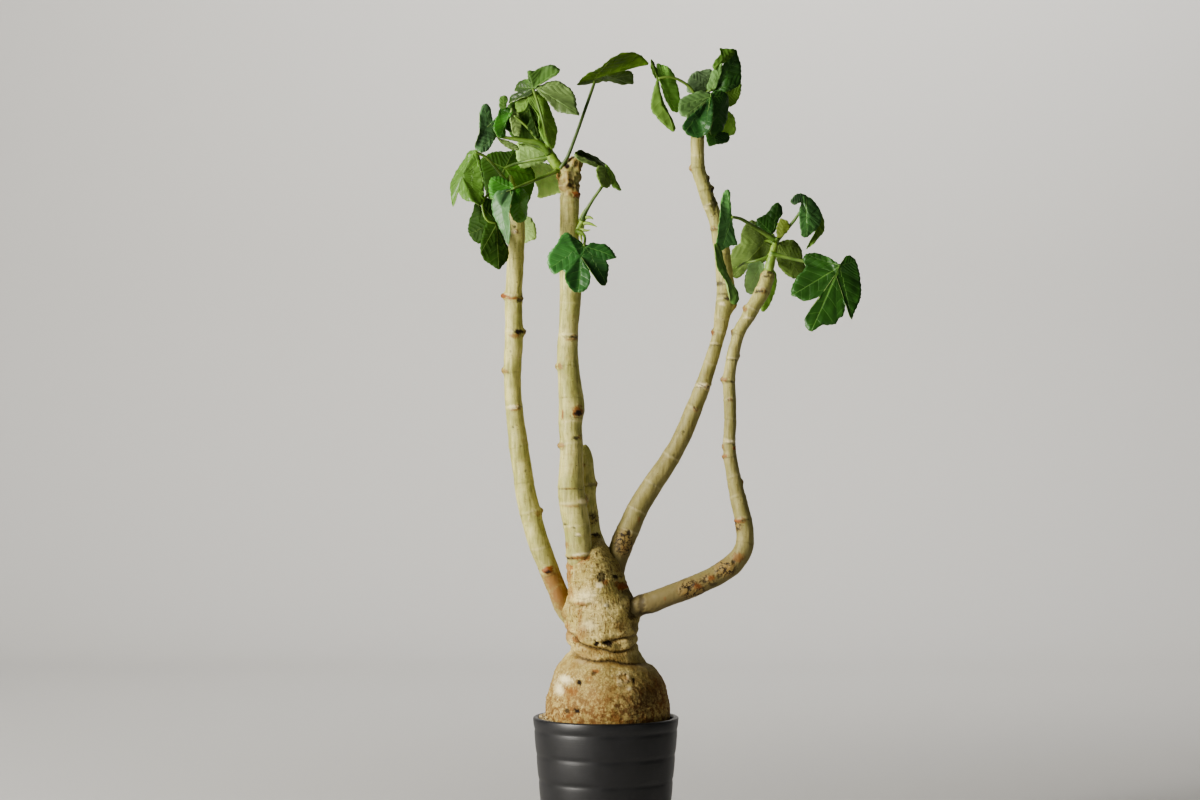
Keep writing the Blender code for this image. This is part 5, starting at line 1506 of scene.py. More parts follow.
leaves["leaf_left_low"] = dict(
    stalks=[[(512, 194, 0, 1.9), (494, 192, -6, 1.2), (483.5, 200, -12, 1.1), (483.5, 213, -17, 1),
             (488, 221, -17, 1), (496, 223.5, -15, 1)]],
    sheets=[dict(
        front="shade", back="deep", under=True, joint=(496, 224, -15), middle=(479, 223, -13),
        ribs=[(4, 1, -0.2), (0, 0.9, -0.2)],
        rim=[(475, 203, -5), (473, 210, -5), (469, 218, -7), (467.5, 227, -10), (469, 234, -13),
             (473, 240, -16), (478, 242.5, -18), (483, 240, -19), (489, 236, -18), (495, 225, -15),
             (490, 221, -13), (485, 218, -11), (482, 211, -8), (480, 204, -6)],
    ), dict(
        front="shade", back="deep", under=True, joint=(496, 222, -10), middle=(489, 211, -8),
        ribs=[(0, 1.1, -0.2)],
        rim=[(481, 204, -8), (485, 198, -6), (491, 199, -5), (495, 207, -5), (498, 216, -7),
             (498, 224, -11), (491, 224, -13), (485.5, 221, -13), (482.5, 213, -11)],
    ), dict(
        front="shade", back="deep", under=True, joint=(497, 224, -16), middle=(495, 246, -19),
        ribs=[(8, 1.2, -0.25), (12, 1.1, -0.2), (5, 1.3, -0.2)],
        rim=[(486, 224, -18), (495, 222.5, -16), (500, 228, -14), (504, 237, -13), (508, 247, -13),
             (509, 255, -14), (507, 261, -16), (503.5, 265, -18), (499, 269.5, -20), (495, 267, -21),
             (490, 263.5, -22), (485, 260, -23), (481, 253, -23), (480.5, 245, -22), (482, 238, -21)],
    )])
leaves["leaf_left_behind"] = dict(
    stalks=[[(514, 192, 2, 1.9), (513, 196, 18, 1.2), (512, 205, 30, 1.1)]],
    sheets=[dict(
        front="pale", back="deep", under=True, joint=(513, 203, 31), middle=(522, 228, 31),
        ribs=[(4, 1.5, -0.1), (1, 1.5, -0.1)],
        rim=[(522, 215, 32), (530, 217, 30), (534, 222, 29), (536, 228, 28), (536, 238.5, 28),
             (531, 240, 29), (527, 242.5, 30), (522, 243, 31), (515, 240, 34), (511, 229, 35),
             (510, 216, 34), (514, 211, 33)],
    )])
leaves["leaf_left_inner"] = dict(
    stalks=[[(551, 160, -6, 1.9), (545, 158, 8, 1.3), (537, 160, 20, 1.2), (530, 165, 28, 1.1)]],
    sheets=[dict(
        front="pale", back="deep", under=True, joint=(529, 166, 29), middle=(546, 180, 28),
        ribs=[(7, 2.6, -0.3), (3, 2.1, 0)],
        rim=[(529, 160, 30), (537, 161.5, 30), (545, 163, 30), (553, 166, 30), (557, 172, 30),
             (559, 180, 31), (562, 187, 31), (564, 191.5, 31), (556, 194, 28), (548, 196, 26),
             (541, 197.5, 25), (537.5, 196.5, 25), (538.5, 190, 26), (536, 184, 27), (532, 176, 28),
             (528, 169, 29)],
    )])
leaves["leaf_left_centre"] = dict(
    stalks=[[(549, 153, -8, 1.9), (536, 147, 4, 1.2), (525, 143, 12, 1.1), (519, 144, 15, 1.1)]],
    sheets=[dict(
        front="grey", back="deep", under=True, joint=(519, 144, 16), middle=(531, 154, 15),
        ribs=[(5, 1.7, -0.1), (8, 1.7, -0.1), (3, 1.7, -0.1)],
        rim=[(518, 141, 17), (526, 141.5, 17), (534, 143, 16), (541, 146, 15), (546, 152, 14),
             (547, 159, 13), (540, 164, 13), (530, 166.5, 13), (521, 168, 14), (517, 160, 15),
             (516, 150, 16)],
    )])
leaves["leaf_middle_high"] = dict(
    stalkTone=0.42,
    stalks=[[(560, 169, -8, 2), (567, 158, -10, 1.5), (572, 146, -12, 1.4), (579, 127, -12, 1.3),
             (586, 107, -11, 1.3), (590.5, 94, -8, 1.3), (595, 81, -5, 1.2)]],
    sheets=[dict(
        front="umber", back="deep", under=True, joint=(595, 80, -4), middle=(606, 75, -8),
        ribs=[(0, 1.3, -0.1), (6, 1, -0.1), (12, 2.6, -0.1), (20, 0.9, -0.1), (24, 2, -0.1)],
        rim=[(577, 85, 6), (582, 79, -2), (588, 74, -8), (595, 71, -14), (602, 67, -20), (608, 61, -28),
             (613, 57, -33), (618, 54.5, -36), (625, 53, -38), (632, 53.5, -36), (638, 55, -32),
             (643, 58, -26), (648.5, 64, -16), (644, 66, -10), (638, 66.5, -8), (631, 67, -6),
             (625, 68, -3), (620.5, 70.5, -2), (626, 71, 2), (631, 72, 6), (633.5, 75, 12), (633.5, 79, 20),
             (633.5, 84.5, 30), (627, 85, 32), (620, 85, 30), (612, 82.5, 24), (605, 82, 16), (598, 83, 9),
             (588, 84.5, 11), (582, 85.5, 8)],
    )])
leaves["leaf_middle_right"] = dict(
    stalkTone=0.55,
    stalks=[[(582, 221, -11, 2.6), (585, 213, -12, 1.8), (592, 201, -15, 1.3), (601, 188, -20, 1.2),
             (609, 177, -14, 1.1)]],
    sheets=[dict(
        front="umber", back="deep", under=True, joint=(610, 175, -9), middle=(596, 160, -2),
        ribs=[(0, 0.6, -0.2), (5, 1.3, 0)],
        rim=[(575, 153, -16), (579, 150, -12), (584, 150, -8), (590, 153, -2), (596, 156.5, 4),
             (602, 160.5, 8), (606, 164.5, 6), (610.5, 169, 0), (613, 175, -8), (608, 178, -10),
             (604, 172, -10), (600, 167.5, -10), (594, 163, -12), (587, 160, -15), (581, 156.5, -17)],
    ), dict(
        front="pale", back="deep", under=True, joint=(600, 168, -14), middle=(588, 161.5, -18),
        ribs=[(0, 0.8, -0.1)],
        rim=[(574, 153.5, -19), (580, 155.5, -18), (587, 159, -17), (594, 162, -15), (599, 165.5, -13),
             (597, 167.5, -15), (591, 165.5, -18), (584, 162.5, -20), (578, 159, -21)],
    ), dict(
        front="olive", back="deep", under=True, joint=(606, 168, -13), middle=(604, 176, -20),
        ribs=[(6, 1.6, -0.3)],
        rim=[(598, 165.5, -18), (603, 165, -14), (608, 169, -12), (611.5, 176, -14), (612, 183, -19),
             (609, 187, -24), (603.5, 186.5, -28), (600, 182.5, -28), (598, 176, -25), (597, 170, -21)],
    ), dict(
        front="meadow", back="deep", joint=(608, 168, -11), middle=(613, 177, -13),
        ribs=[(5, 1, -0.3)],
        rim=[(605, 164, -12), (610.5, 168.5, -11), (614, 174, -11), (617, 180, -12), (619.5, 186, -14),
             (621.5, 190.5, -16), (618, 190, -17), (614, 187, -17), (611, 181, -17), (608.5, 173, -15)],
    )])
leaves["leaf_middle_front"] = dict(
    stalks=[[(577, 231, -12, 2.2), (583, 234, -18, 1.4), (585, 239, -28, 1.2), (584, 246, -38, 1.1)]],
    sheets=[dict(
        front="fern", back="pale", joint=(584, 246, -38), middle=(580, 256, -44),
        ribs=[(0, 1.4, -0.1), (10, 1.05, -0.2), (15, 0.8, -0.15), (23, 1, 0.1), (31, 1.75, -0.2)],
        rim=[(566, 232, -42), (572, 235.5, -40), (578, 239.5, -38), (584, 243.5, -37), (588, 244, -37),
             (592, 242, -37), (599, 243, -36), (606, 244, -36), (611, 248, -38), (615, 254, -40),
             (616.5, 257, -42), (611, 259, -43), (606.5, 260.5, -44), (609, 266, -42), (608, 275, -43),
             (606.5, 284, -46), (602, 285.5, -48), (597, 280, -51), (592, 273.5, -52), (589, 269.5, -50),
             (590.5, 278, -54), (588.5, 286, -56), (584, 291, -57), (578, 292.5, -56), (572, 290.5, -57),
             (567.5, 285, -57), (565, 278, -56), (565, 272, -53), (562, 269.5, -52), (557.5, 273, -53),
             (553, 273.5, -52), (549, 268.5, -49), (547.5, 262, -47), (548, 255, -46), (551, 250, -46),
             (555, 246, -46), (558, 241, -45), (561, 236, -43)],
    )])
leaves["leaf_tall_hanging"] = dict(
    stalks=[[(702, 108, -3, 1.9), (692, 90, -5, 1.3), (682, 81.5, -8, 1.2), (670, 77, -11, 1.1),
             (658, 78.5, -11, 1.1)]],
    sheets=[dict(
        front="meadow", back="soft", under=True, joint=(658, 79, -10), middle=(662, 105, -13),
        ribs=[(8, 0.95, -0.4)],
        rim=[(658, 78, -10), (655, 85, -12), (653, 93, -13), (652, 100, -14), (652, 108, -15),
             (656, 114.5, -16), (662, 122, -17), (668, 128, -17), (674, 131.5, -17), (676, 127, -16),
             (673, 120, -14), (669.5, 113, -12), (665, 103, -10), (661, 92, -9)],
    ), dict(
        front="soft", back="deep", under=True, joint=(658, 79, -9), middle=(669, 88, -6),
        ribs=[(10, 2.2, -0.2), (4, 2.6, -0.1)],
        rim=[(658, 78, -9), (657, 70, -7), (656.5, 63.5, -6), (662, 64.5, -5), (668, 67, -5), (673, 72, -4),
             (676.5, 80, -3), (679, 88, -3), (680.5, 97, -3), (680.5, 108, -3), (677, 112.5, -4),
             (672, 110.5, -6), (668, 104, -8), (664, 95, -9), (661, 86, -9)],
    ), dict(
        front="meadow", back="soft", under=True, joint=(657, 77, -10), middle=(654.5, 69, -10),
        ribs=[(0, 0.75, -0.3)],
        rim=[(651.5, 59, -9), (655, 63.5, -8), (658, 71, -8), (659, 78, -10), (656, 78.5, -10),
             (653, 73, -11), (651, 66, -10)],
    )])
leaves["leaf_tall_front"] = dict(
    stalks=[[(703, 103, -5, 1.9), (706, 98, -13, 1.4), (711, 97, -26, 1.2)]],
    sheets=[dict(
        front="sheenSilk", back="pale", joint=(711, 97, -27), middle=(694, 103, -33),
        ribs=[(5, 0.62, -0.3), (7, 0.36, 0)],
        rim=[(712, 95, -26), (705, 90, -25), (697, 91, -26), (688, 94, -29), (681, 98, -32),
             (678.5, 105, -36), (679, 112, -39), (684, 116, -41), (690, 117, -41), (697, 112, -38),
             (704, 104, -32)],
    ), dict(
        front="fern", back="pale", joint=(711, 97, -27), middle=(699, 119, -39),
        ribs=[(6, 1, -0.3), (9, 0.8, 0.2)],
        rim=[(711, 96, -28), (703, 105, -34), (696, 111, -39), (689, 116.5, -43), (685, 121, -44),
             (682, 127, -45), (685, 132.5, -46), (690, 136, -46), (697, 137.5, -46), (703, 135.5, -46),
             (708.5, 132, -47), (712, 124, -46), (713, 113, -40), (713, 103, -33)],
    ), dict(
        front="deep", back="pale", joint=(712, 97, -27), middle=(719, 112, -30),
        ribs=[(7, 1.7, 0), (3, 1.6, 0)],
        rim=[(711, 93.5, -27), (718, 91, -23), (725, 92, -20), (728.5, 99, -18), (728.5, 110, -19),
             (727.5, 118, -21), (724.5, 126, -25), (720, 133.5, -30), (711, 134.5, -36), (708.5, 124, -40),
             (708.5, 110, -36)],
    ), dict(
        front="deep", back="pale", joint=(713, 130, -32), middle=(717, 138, -34),
        ribs=[(6, 1.3, -0.1)],
        rim=[(707, 130, -32), (716, 131, -31), (723, 131.5, -30), (729, 134, -30), (729.5, 140, -32),
             (724, 143, -35), (716, 144.5, -37), (709, 145.5, -38), (706.5, 138, -35)],
    )])
leaves["leaf_tall_top"] = dict(
    stalks=[[(704, 98, -3, 1.9), (708, 92, -5, 1.4), (712, 89, -7, 1.2)]],
    sheets=[dict(
        front="deep", back="pale", joint=(712, 89, -7), middle=(728, 76, -8),
        ribs=[(6, 1.5, -0.2), (9, 1.5, 0)],
        rim=[(712, 91, -6), (715.5, 82, -8), (719.5, 71, -9), (724, 63, -9), (730, 56.5, -7),
             (735.5, 49, -4), (738.5, 57, -3), (741, 65, -3), (741.5, 75, -3), (740.5, 84, -4),
             (734, 88.5, -7), (727, 91.5, -9), (719, 92, -8)],
    ), dict(
        front="fresh", back="pale", under=True, joint=(716, 66, -12), middle=(724, 57, -12),
        ribs=[(2, 0.75, -0.3)],
        rim=[(720.5, 48, -9), (728, 48.6, -8), (735, 49.4, -6), (734.5, 54, -7), (729, 60, -9),
             (722, 64.5, -11), (716, 69.5, -12), (712.5, 67.5, -12), (715, 61, -13), (719, 56.5, -13),
             (721.5, 52, -12)],
    ), dict(
        front="sheenSilk", back="deep", under=True, joint=(712, 89, -8), middle=(714, 79, -10),
        ribs=[(0, 0.8, -0.2)],
        rim=[(722, 63.5, -12), (717, 67, -12), (712, 71, -11), (709.5, 79, -9), (706.5, 88, -7),
             (712, 91.5, -7), (716, 88, -9), (719, 80, -10), (721.5, 72, -11)],
    )])
leaves["leaf_tall_pale"] = dict(
    stalks=[[(704, 98, -2, 1.9), (706, 93, 1, 1.3), (707, 90, 2, 1.2)]],
    sheets=[dict(
        front="sheenSilver", back="pale", joint=(707, 90, 2), middle=(701, 81, 0),
        ribs=[(2, 0.55, -0.2), (5, 0.6, 0.2)],
        rim=[(688, 91, -4), (687, 84, -3), (690, 76, 0), (694, 72, 3), (700, 71, 5), (706, 69, 7),
             (712, 70, 7), (714, 76, 5), (711.5, 82, 3), (710, 90, 2), (702, 92.5, -1), (694, 92.5, -4)],
    )])
leaves["leaf_tall_behind"] = dict(
    stalks=[[(704, 102, -2, 1.9), (713, 98, 8, 1.3), (724, 97, 13, 1.1)],
            [(704, 102, -2, 1.4), (713, 103, 8, 1.2), (722, 107, 12, 1.1)]],
    sheets=[dict(
        front="meadow", back="deep", under=True, joint=(724, 96, 13), middle=(733, 95, 15),
        ribs=[(1, 1, -0.2)],
        rim=[(741, 83, 17), (741, 92, 16), (738, 100, 15), (733, 105.5, 14), (727, 105, 13), (723, 98, 13),
             (728, 88, 15), (734, 82, 17)],
    ), dict(
        front="meadow", back="deep", under=True, joint=(722, 106, 12), middle=(728, 122, 11),
        ribs=[(3, 1.3, -0.2)],
        rim=[(727, 111, 12), (733.5, 115, 12), (736, 124, 12), (735.5, 132.5, 12), (731, 135.5, 11),
             (725, 134, 10), (720, 128, 10), (720, 114, 11)],
    )])
leaves["leaf_curved_upright"] = dict(
    stalks=[[(775, 240, -4, 2.6), (765, 233.5, -7, 2), (752, 225.5, -15, 1.6), (741, 219, -26, 1.4),
             (732, 217, -37, 1.2)]],
    sheets=[dict(
        front="cool", back="pale", joint=(732, 217, -36), middle=(727, 225, -38),
        ribs=[(0, 2.2, -0.2), (9, 2, -0.25)],
        rim=[(726, 189.5, -37), (730, 192.5, -36), (730.5, 203, -36), (731.5, 213, -35), (733.5, 225, -35),
             (736, 236, -34), (738.5, 244.5, -34), (733, 245.5, -36), (727, 247.5, -38), (721, 251.5, -40),
             (716, 255, -43), (716.5, 245, -44), (718.5, 235, -44), (720, 222, -43), (721, 210, -42),
             (722, 198, -39)],
    ), dict(
        front="soft", back="pale", joint=(717, 246, -44), middle=(723, 268, -41),
        ribs=[(7, 1.1, -0.2)],
        rim=[(715.5, 243, -45), (721.5, 248, -41), (723, 257, -39), (726, 267, -38), (730, 277, -37),
             (734, 285.5, -36), (738.5, 293, -35), (738.5, 300, -35), (735, 304.5, -36), (731, 302, -37),
             (730, 292, -39), (727, 282.5, -41), (721, 273.5, -43), (717, 264, -45), (715.5, 253, -46)],
    )])
leaves["leaf_curved_broad"] = dict(
    stalks=[[(773, 242, -3, 1.9), (769, 241, 8, 1.3), (765, 241, 18, 1.1)],
            [(769, 257, -3, 1.7), (755, 261, -3, 1.1), (745, 263, 5, 1), (736, 268, 20, 0.9)]],
    sheets=[dict(
        front="olive", back="deep", under=True, joint=(766, 241, 17), middle=(750, 249, 21),
        ribs=[(1, 1, -0.15), (18, 1.35, -0.15), (14, 1.3, -0.15), (8, 1.2, -0.1)],
        rim=[(741, 232, 24), (745, 225, 25), (750, 220.5, 26), (757, 221.5, 25), (763, 227, 22),
             (770, 234, 19), (772, 243, 16), (771, 252, 15), (768, 260, 15), (760, 262.5, 17),
             (755, 263, 18), (748, 267.5, 20), (742, 275, 22), (738, 278, 23), (732, 277, 24),
             (729, 272, 24), (729.5, 262, 24), (731, 252.5, 24), (735, 246.5, 24), (740, 242, 23)],
    )])
leaves["leaf_curved_pale"] = dict(
    stalks=[[(772, 252, -3, 1.9), (768, 256, 8, 1.2), (762, 262, 13, 1.1)]],
    sheets=[dict(
        front="sheenSilver", back="pale", joint=(762, 262, 13), middle=(755, 273, 13),
        ribs=[(7, 2.3, -0.15)],
        rim=[(749, 264, 14), (756, 261, 14), (763, 262, 14), (764, 270, 14), (761, 277, 14), (758, 286, 14),
             (753, 294, 14), (747, 292.5, 13), (744.5, 286, 12), (745, 277, 12), (747, 270, 13)],
    )])
leaves["leaf_curved_dark"] = dict(
    stalks=[[(775, 240, -3, 1.9), (774, 237, 8, 1.3), (773, 235, 13, 1.2)]],
    sheets=[dict(
        front="deep", back="shade", joint=(773, 235, 13), middle=(770, 222, 15),
        ribs=[(0, 1.1, -0.2), (2, 1.3, -0.1), (9, 1.5, -0.2)],
        rim=[(778, 202.5, 19), (782, 207.5, 20), (782.5, 214, 20), (779, 219.5, 18), (777, 226, 16),
             (774, 233, 14), (768, 234.5, 13), (761, 231, 13), (756.5, 225, 14), (757, 219, 15),
             (762, 216, 16), (768, 212, 17), (772.5, 205.5, 18)],
    )])
leaves["leaf_curved_young"] = dict(
    stalks=[[(776, 240, -5, 1.9), (778, 238, -8, 1.3)]],
    sheets=[dict(
        front="bud", back="olive", under=True, joint=(779, 237, -8), middle=(783, 228, -8),
        ribs=[(1, 1, -0.4)],
        rim=[(780.5, 218.5, -7), (786, 220, -7), (790, 225, -8), (788, 230.5, -9), (783, 235.5, -10),
             (778, 238, -9), (776, 230.5, -7), (777.5, 224, -7)],
    )])
leaves["leaf_curved_folded"] = dict(
    stalks=[[(776, 241, -4, 2.4), (784, 232, -4, 1.7), (793, 222, -5, 1.3), (800, 212, -8, 1.1)]],
    sheets=[dict(
        front="sheenBluish", back="pale", joint=(800, 212, -9), middle=(802, 198, -14),
        ribs=[(0, 0.8, -0.2)],
        rim=[(790.5, 201.5, -17), (794, 196, -16), (799.5, 193, -14), (806, 194.5, -12), (812, 199, -11),
             (806, 201, -13), (800, 202.5, -15), (794.5, 204.5, -17)],
    ), dict(
        front="cool", back="pale", joint=(806, 199, -12), middle=(809, 216, -15),
        ribs=[(8, 1.1, 0.4)],
        rim=[(803, 196, -12), (809, 197.5, -10), (814, 202, -8), (818, 209, -7), (820.5, 216, -8),
             (819.5, 223, -10), (816, 229.5, -13), (811, 234, -16), (806.5, 237.5, -18),
             (801.5, 236.5, -18), (799.5, 228, -16), (798.5, 218, -14), (799, 209, -12), (801, 202, -11)],
    ), dict(
        front="meadow", back="cool", under=True, joint=(816, 205, 0), middle=(820, 226, 2),
        ribs=[(8, 1, -0.2)],
        rim=[(814, 203, -1), (819, 208, 1), (823, 215, 3), (825, 222, 4), (825.5, 230, 4), (822, 235.5, 3),
             (817, 241, 2), (812, 245.5, 1), (806.5, 249, 1), (811.5, 240, 0), (816, 232, -1),
             (817.5, 222, -2), (816.5, 212, -2)],
    )])
leaves["leaf_curved_large"] = dict(
    stalks=[[(771, 253, -4, 2.4), (785, 257, -6, 1.6), (803, 261, -10, 1.4), (822, 263, -15, 1.3),
             (840, 266, -31, 1.2)]],
    sheets=[dict(
        front="deep", back="pale", joint=(840, 266, -32), middle=(836, 274, -34),
        ribs=[(1, 1.3, -0.15), (39, 1.3, -0.06), (28, 1.2, -0.08), (17, 1.5, -0.08), (10, 1.8, -0.1)],
        rim=[(803, 259.5, -23), (806, 254, -21), (813, 252.5, -20), (820, 253.5, -21), (827, 256.5, -24),
             (833, 260, -28), (839, 264, -31), (842, 262, -31), (846, 256, -28), (851, 255.5, -27),
             (856, 261, -26), (859, 270, -27), (860.6, 279, -29), (861.4, 289, -32), (860.6, 298, -35),
             (857.5, 306, -38), (854, 313.5, -41), (852, 319, -43), (849, 314, -43), (847, 307, -42),
             (845, 302.5, -41), (845, 309, -43), (843, 315.5, -45), (838.5, 318.5, -46), (836, 323.5, -47),
             (829, 324.5, -48), (822, 325, -48), (816, 329, -49), (811, 331.5, -49), (806.5, 328, -48),
             (804.5, 320, -46), (807, 314, -44), (812, 307.5, -42), (817.5, 301.5, -41), (820.5, 296, -40),
             (816.5, 297.5, -40), (808, 300.5, -39.5), (802, 300, -39), (796.5, 297, -38),
             (791.5, 295.5, -37), (791.5, 288, -34), (794.5, 281, -32), (798, 275, -31), (803.5, 270, -30),
             (805.5, 265, -27)],
    )])
leaves["leaf_curved_olive"] = dict(
    stalks=[[(773, 247, -3, 1.9), (776, 245, 10, 1.3), (779, 243, 17, 1.1)]],
    sheets=[dict(
        front="olive", back="deep", under=True, joint=(779, 243, 17), middle=(790, 258, 18),
        ribs=[(4, 1.4, -0.1), (8, 1.6, -0.15), (11, 1.6, -0.1)],
        rim=[(778, 243, 17), (785, 240, 19), (791, 239.5, 20), (797, 242.5, 22), (801.5, 249, 23),
             (803, 257, 22), (805, 264, 21), (806, 270, 19), (801.5, 276.5, 17), (795, 278.5, 16),
             (788, 275.5, 15), (782, 270.5, 15), (778, 264, 15), (776, 256, 16), (776, 249, 16)],
    )])
leaves["leaf_curved_strip"] = dict(
    stalks=[[(771, 256, -2, 1.9), (772, 263, 14, 1.2), (772, 271, 31, 1.1)]],
    sheets=[dict(
        front="meadow", back="deep", under=True, joint=(772, 270, 31), middle=(769, 290, 30),
        ribs=[(7, 2.2, -0.2)],
        rim=[(768, 271, 31), (775, 271, 32), (777, 279, 32), (776.5, 287, 31), (774.5, 294, 31),
             (771.5, 301.5, 30), (767.5, 308.5, 29), (762.5, 312, 28), (760.5, 305.5, 28), (763, 296, 29),
             (765.5, 287, 30), (766.5, 279, 31)],
    )])

# the tints silver, silk and bluish are paled to paint sheen and light shining through the blade onto single
# lobes: painted highlight
leafTints = {
    "deep": (0.021, 0.066, 0.010),
    "fern": (0.032, 0.105, 0.024),
    "cool": (0.052, 0.130, 0.036),
    "sheenBluish": (0.088, 0.185, 0.072),
    "soft": (0.084, 0.172, 0.036),
    "lively": (0.050, 0.180, 0.020),
    "fresh": (0.105, 0.215, 0.038),
    "sheenSilk": (0.180, 0.335, 0.105),
    "sheenSilver": (0.250, 0.390, 0.180),
    "grey": (0.170, 0.260, 0.085),
    "pale": (0.270, 0.390, 0.130),
    "meadow": (0.130, 0.235, 0.048),
    "olive": (0.105, 0.160, 0.042),
    "bud": (0.180, 0.240, 0.045),
    "umber": (0.046, 0.088, 0.010),
    "shade": (0.026, 0.062, 0.009),
}

bladeShape = {
    "rimStep": 0.95,
    "roundLimits": (64, 264),
    "ringStep": 2.4,
    "ringLimits": (5, 12),
    "thickness": 0.45,
    "ribRound": 1.2,
    "ribSpread": 10,
    "wave": 0.8,
    "waveScale": 0.075,
    "ripple": 0.35,
    "ripplePitch": 11.0,
    "tooth": 0.28,
    "toothPitch": 4.3,
    "lobeWidth": 0.38,
    "fold": 0.6,
    "sheetSeed": 0.37,
}
stalkShape = {"sides": 14, "spacing": 1.6, "tone": 0.8}


def lengthsOf(rows):
    return np.linalg.norm(rows, axis=1)


# a point given as it is seen from the front, with its depth
def seenAt(point):
    x, y, z = (value / mm for value in view["place"])
    step = (point[2] - y) * view["sensorWidth"] / view["lens"] / view["columns"]
    return np.array((x + (point[0] - view["columns"] / 2) * step, point[2],
                     z - (point[1] - view["rows"] / 2) * step))


# a flat round disc of rings, drawn by drawing its rim inwards
def makeDisc(name, count, rings):
    deselectAll()
    bpy.ops.mesh.primitive_circle_add(vertices=count, radius=1, fill_type="NOTHING")
    disc = bpy.context.active_object
    startEdit()
    for step in range(rings - 1, 0, -1):
        scale = step / (step + 1)
        bpy.ops.mesh.extrude_region_move()
        bpy.ops.transform.resize(value=(scale, scale, scale), center_override=(0, 0, 0))
    bpy.ops.mesh.extrude_region_move()
    bpy.ops.mesh.merge(type="CENTER")
    bpy.ops.mesh.select_all(action="SELECT")
    bpy.ops.mesh.normals_make_consistent(inside=False)
    bpy.ops.object.mode_set(mode="OBJECT")
    if disc.data.polygons[0].normal.z < 0:
        disc.data.flip_normals()
    disc.name = name
    return disc


# the smooth outline through the rim's points as even places, with small teeth
def rimLoop(points, seed):
    rows = [tuple(row) for row in points]
    smooth = smoothLine([rows[-1]] + rows + rows[:2])[curveSteps:curveSteps * (len(rows) + 1) + 1]
    line = np.array([tuple(row) for row in smooth])
    run = runAlong(line)
    count = int(np.clip(run[-1] / bladeShape["rimStep"], *bladeShape["roundLimits"]))
    wanted = np.linspace(0, run[-1], count + 1)[:-1]
    loop = np.stack([np.interp(wanted, run, line[:, k]) for k in range(3)], 1)
    tooth = np.sin(wanted * 2 * math.pi / bladeShape["toothPitch"] + 1.6 * np.sin(wanted * 0.31 + seed))
    out = loop - loop.mean(0)
    out /= lengthsOf(out)[:, None]
    return loop + out * (bladeShape["tooth"] * tooth)[:, None]


# how each place lies to each rib: share of its length, distance beside it and how straight ahead
def ribFacts(places, joint, tips, normal):
    ahead, beside, close = [], [], []
    spokes = places - joint
    for tip in tips:
        length = np.linalg.norm(tip - joint)
        along = (tip - joint) / length
        reach = spokes @ along
        across = spokes - reach[:, None] * along
        ahead.append(reach / length)
        beside.append(lengthsOf(across) * np.sign(across @ np.cross(normal, along)) / length)
        close.append(reach / np.maximum(lengthsOf(spokes), 0.01))
    return np.array(ahead), np.array(beside), np.array(close)


# the disc laid out flat between the sheet's middle and its rim
def layOut(name, sheet, rim, seed):
    centre = seenAt(sheet.get("middle", sheet["joint"]))
    loop = rimLoop(rim, seed)
    spokes = loop - centre
    normal = np.cross(spokes, np.roll(spokes, -1, axis=0)).sum(0)
    normal /= np.linalg.norm(normal)
    if normal[1] > 0:
        loop = loop[::-1]
        normal = -normal
    rings = int(np.clip(lengthsOf(spokes).mean() / bladeShape["ringStep"], *bladeShape["ringLimits"]))
    blade = makeDisc(name, len(loop), rings)
    flat = coordinates(blade) * mm
    share = np.hypot(flat[:, 0], flat[:, 1])
    turn = np.arctan2(flat[:, 1], flat[:, 0]) / (2 * math.pi)
    index = np.round(turn * len(loop)).astype(int) % len(loop)
    return blade, normal, share, index, centre + share[:, None] * (loop[index] - centre)


# the sheet's folds along its ribs, its waves and the ripple of its rim
def makeSheet(name, sheet, seed):
    rim = [seenAt(row) for row in sheet["rim"]]
    joint = seenAt(sheet["joint"])
    blade, normal, share, index, places = layOut(name, sheet, rim, seed)
    tips = [rim[row[0]] for row in sheet["ribs"]]
    tones, folds = (np.array([row[k] for row in sheet["ribs"]])[:, None] for k in (1, 2))
    beside, close = ribFacts(places, joint, tips, normal)[1:]
    weight = np.maximum(close, 0.05) ** bladeShape["ribSpread"]
    weight /= weight.sum(0)
    beyond = np.abs(beside) * lengthsOf(np.array(tips) - joint)[:, None]
    height = np.sqrt(beyond ** 2 + bladeShape["ribRound"] ** 2) - bladeShape["ribRound"]
    lift = (weight * height * folds * bladeShape["fold"]).sum(0)
    spot = np.stack([places[:, 0], np.full(len(places), seed * 9.0), places[:, 2]], 1)
    waves = noiseOf(spot, bladeShape["waveScale"], seed, 2)
    lift += bladeShape["wave"] * waves * np.minimum(1, share * 1.6)
    lift += bladeShape["ripple"] * np.sin(index * 2 * math.pi / bladeShape["ripplePitch"] + seed) * share ** 5
    putCoordinates(blade, places + normal * lift[:, None])
    # painted light and shade: each rib's tone brightens or darkens the blade near it, for sheen, for light
    # through leaves in shade and for lobes turned from the light; the rim is a little paler
    lobeLightAndShade = (weight * tones).sum(0) * (1 + 0.3 * share ** 14)
    front = np.array(leafTints[sheet["front"]]) * lobeLightAndShade[:, None]
    back = np.tile(np.array(leafTints[sheet["back"]]), (len(places), 1))
    drawLobes(blade, places, joint, tips, normal)
    paintSides(blade, front, back, sheet.get("under", False))
    return blade


# lobe coordinates for the veins: share along the nearest rib, and distance beside it
def drawLobes(blade, places, joint, tips, normal):
    mesh = blade.data
    corners = np.zeros(len(mesh.loops), int)
    totals = np.zeros(len(mesh.polygons), int)
    mesh.loops.foreach_get("vertex_index", corners)
    mesh.polygons.foreach_get("loop_total", totals)
    owner = np.repeat(np.arange(len(totals)), totals)
    middles = np.zeros((len(totals), 3))
    np.add.at(middles, owner, places[corners] / totals[owner][:, None])
    nearest = ribFacts(middles, joint, tips, normal)[2].argmax(0)[owner]
    ahead, beside = ribFacts(places, joint, tips, normal)[:2]
    uv = np.stack([ahead[nearest, corners], beside[nearest, corners] / bladeShape["lobeWidth"]], 1)
    layer = mesh.uv_layers.get("lobes") or mesh.uv_layers.new(name="lobes")
    layer.data.foreach_set("uv", uv.ravel())


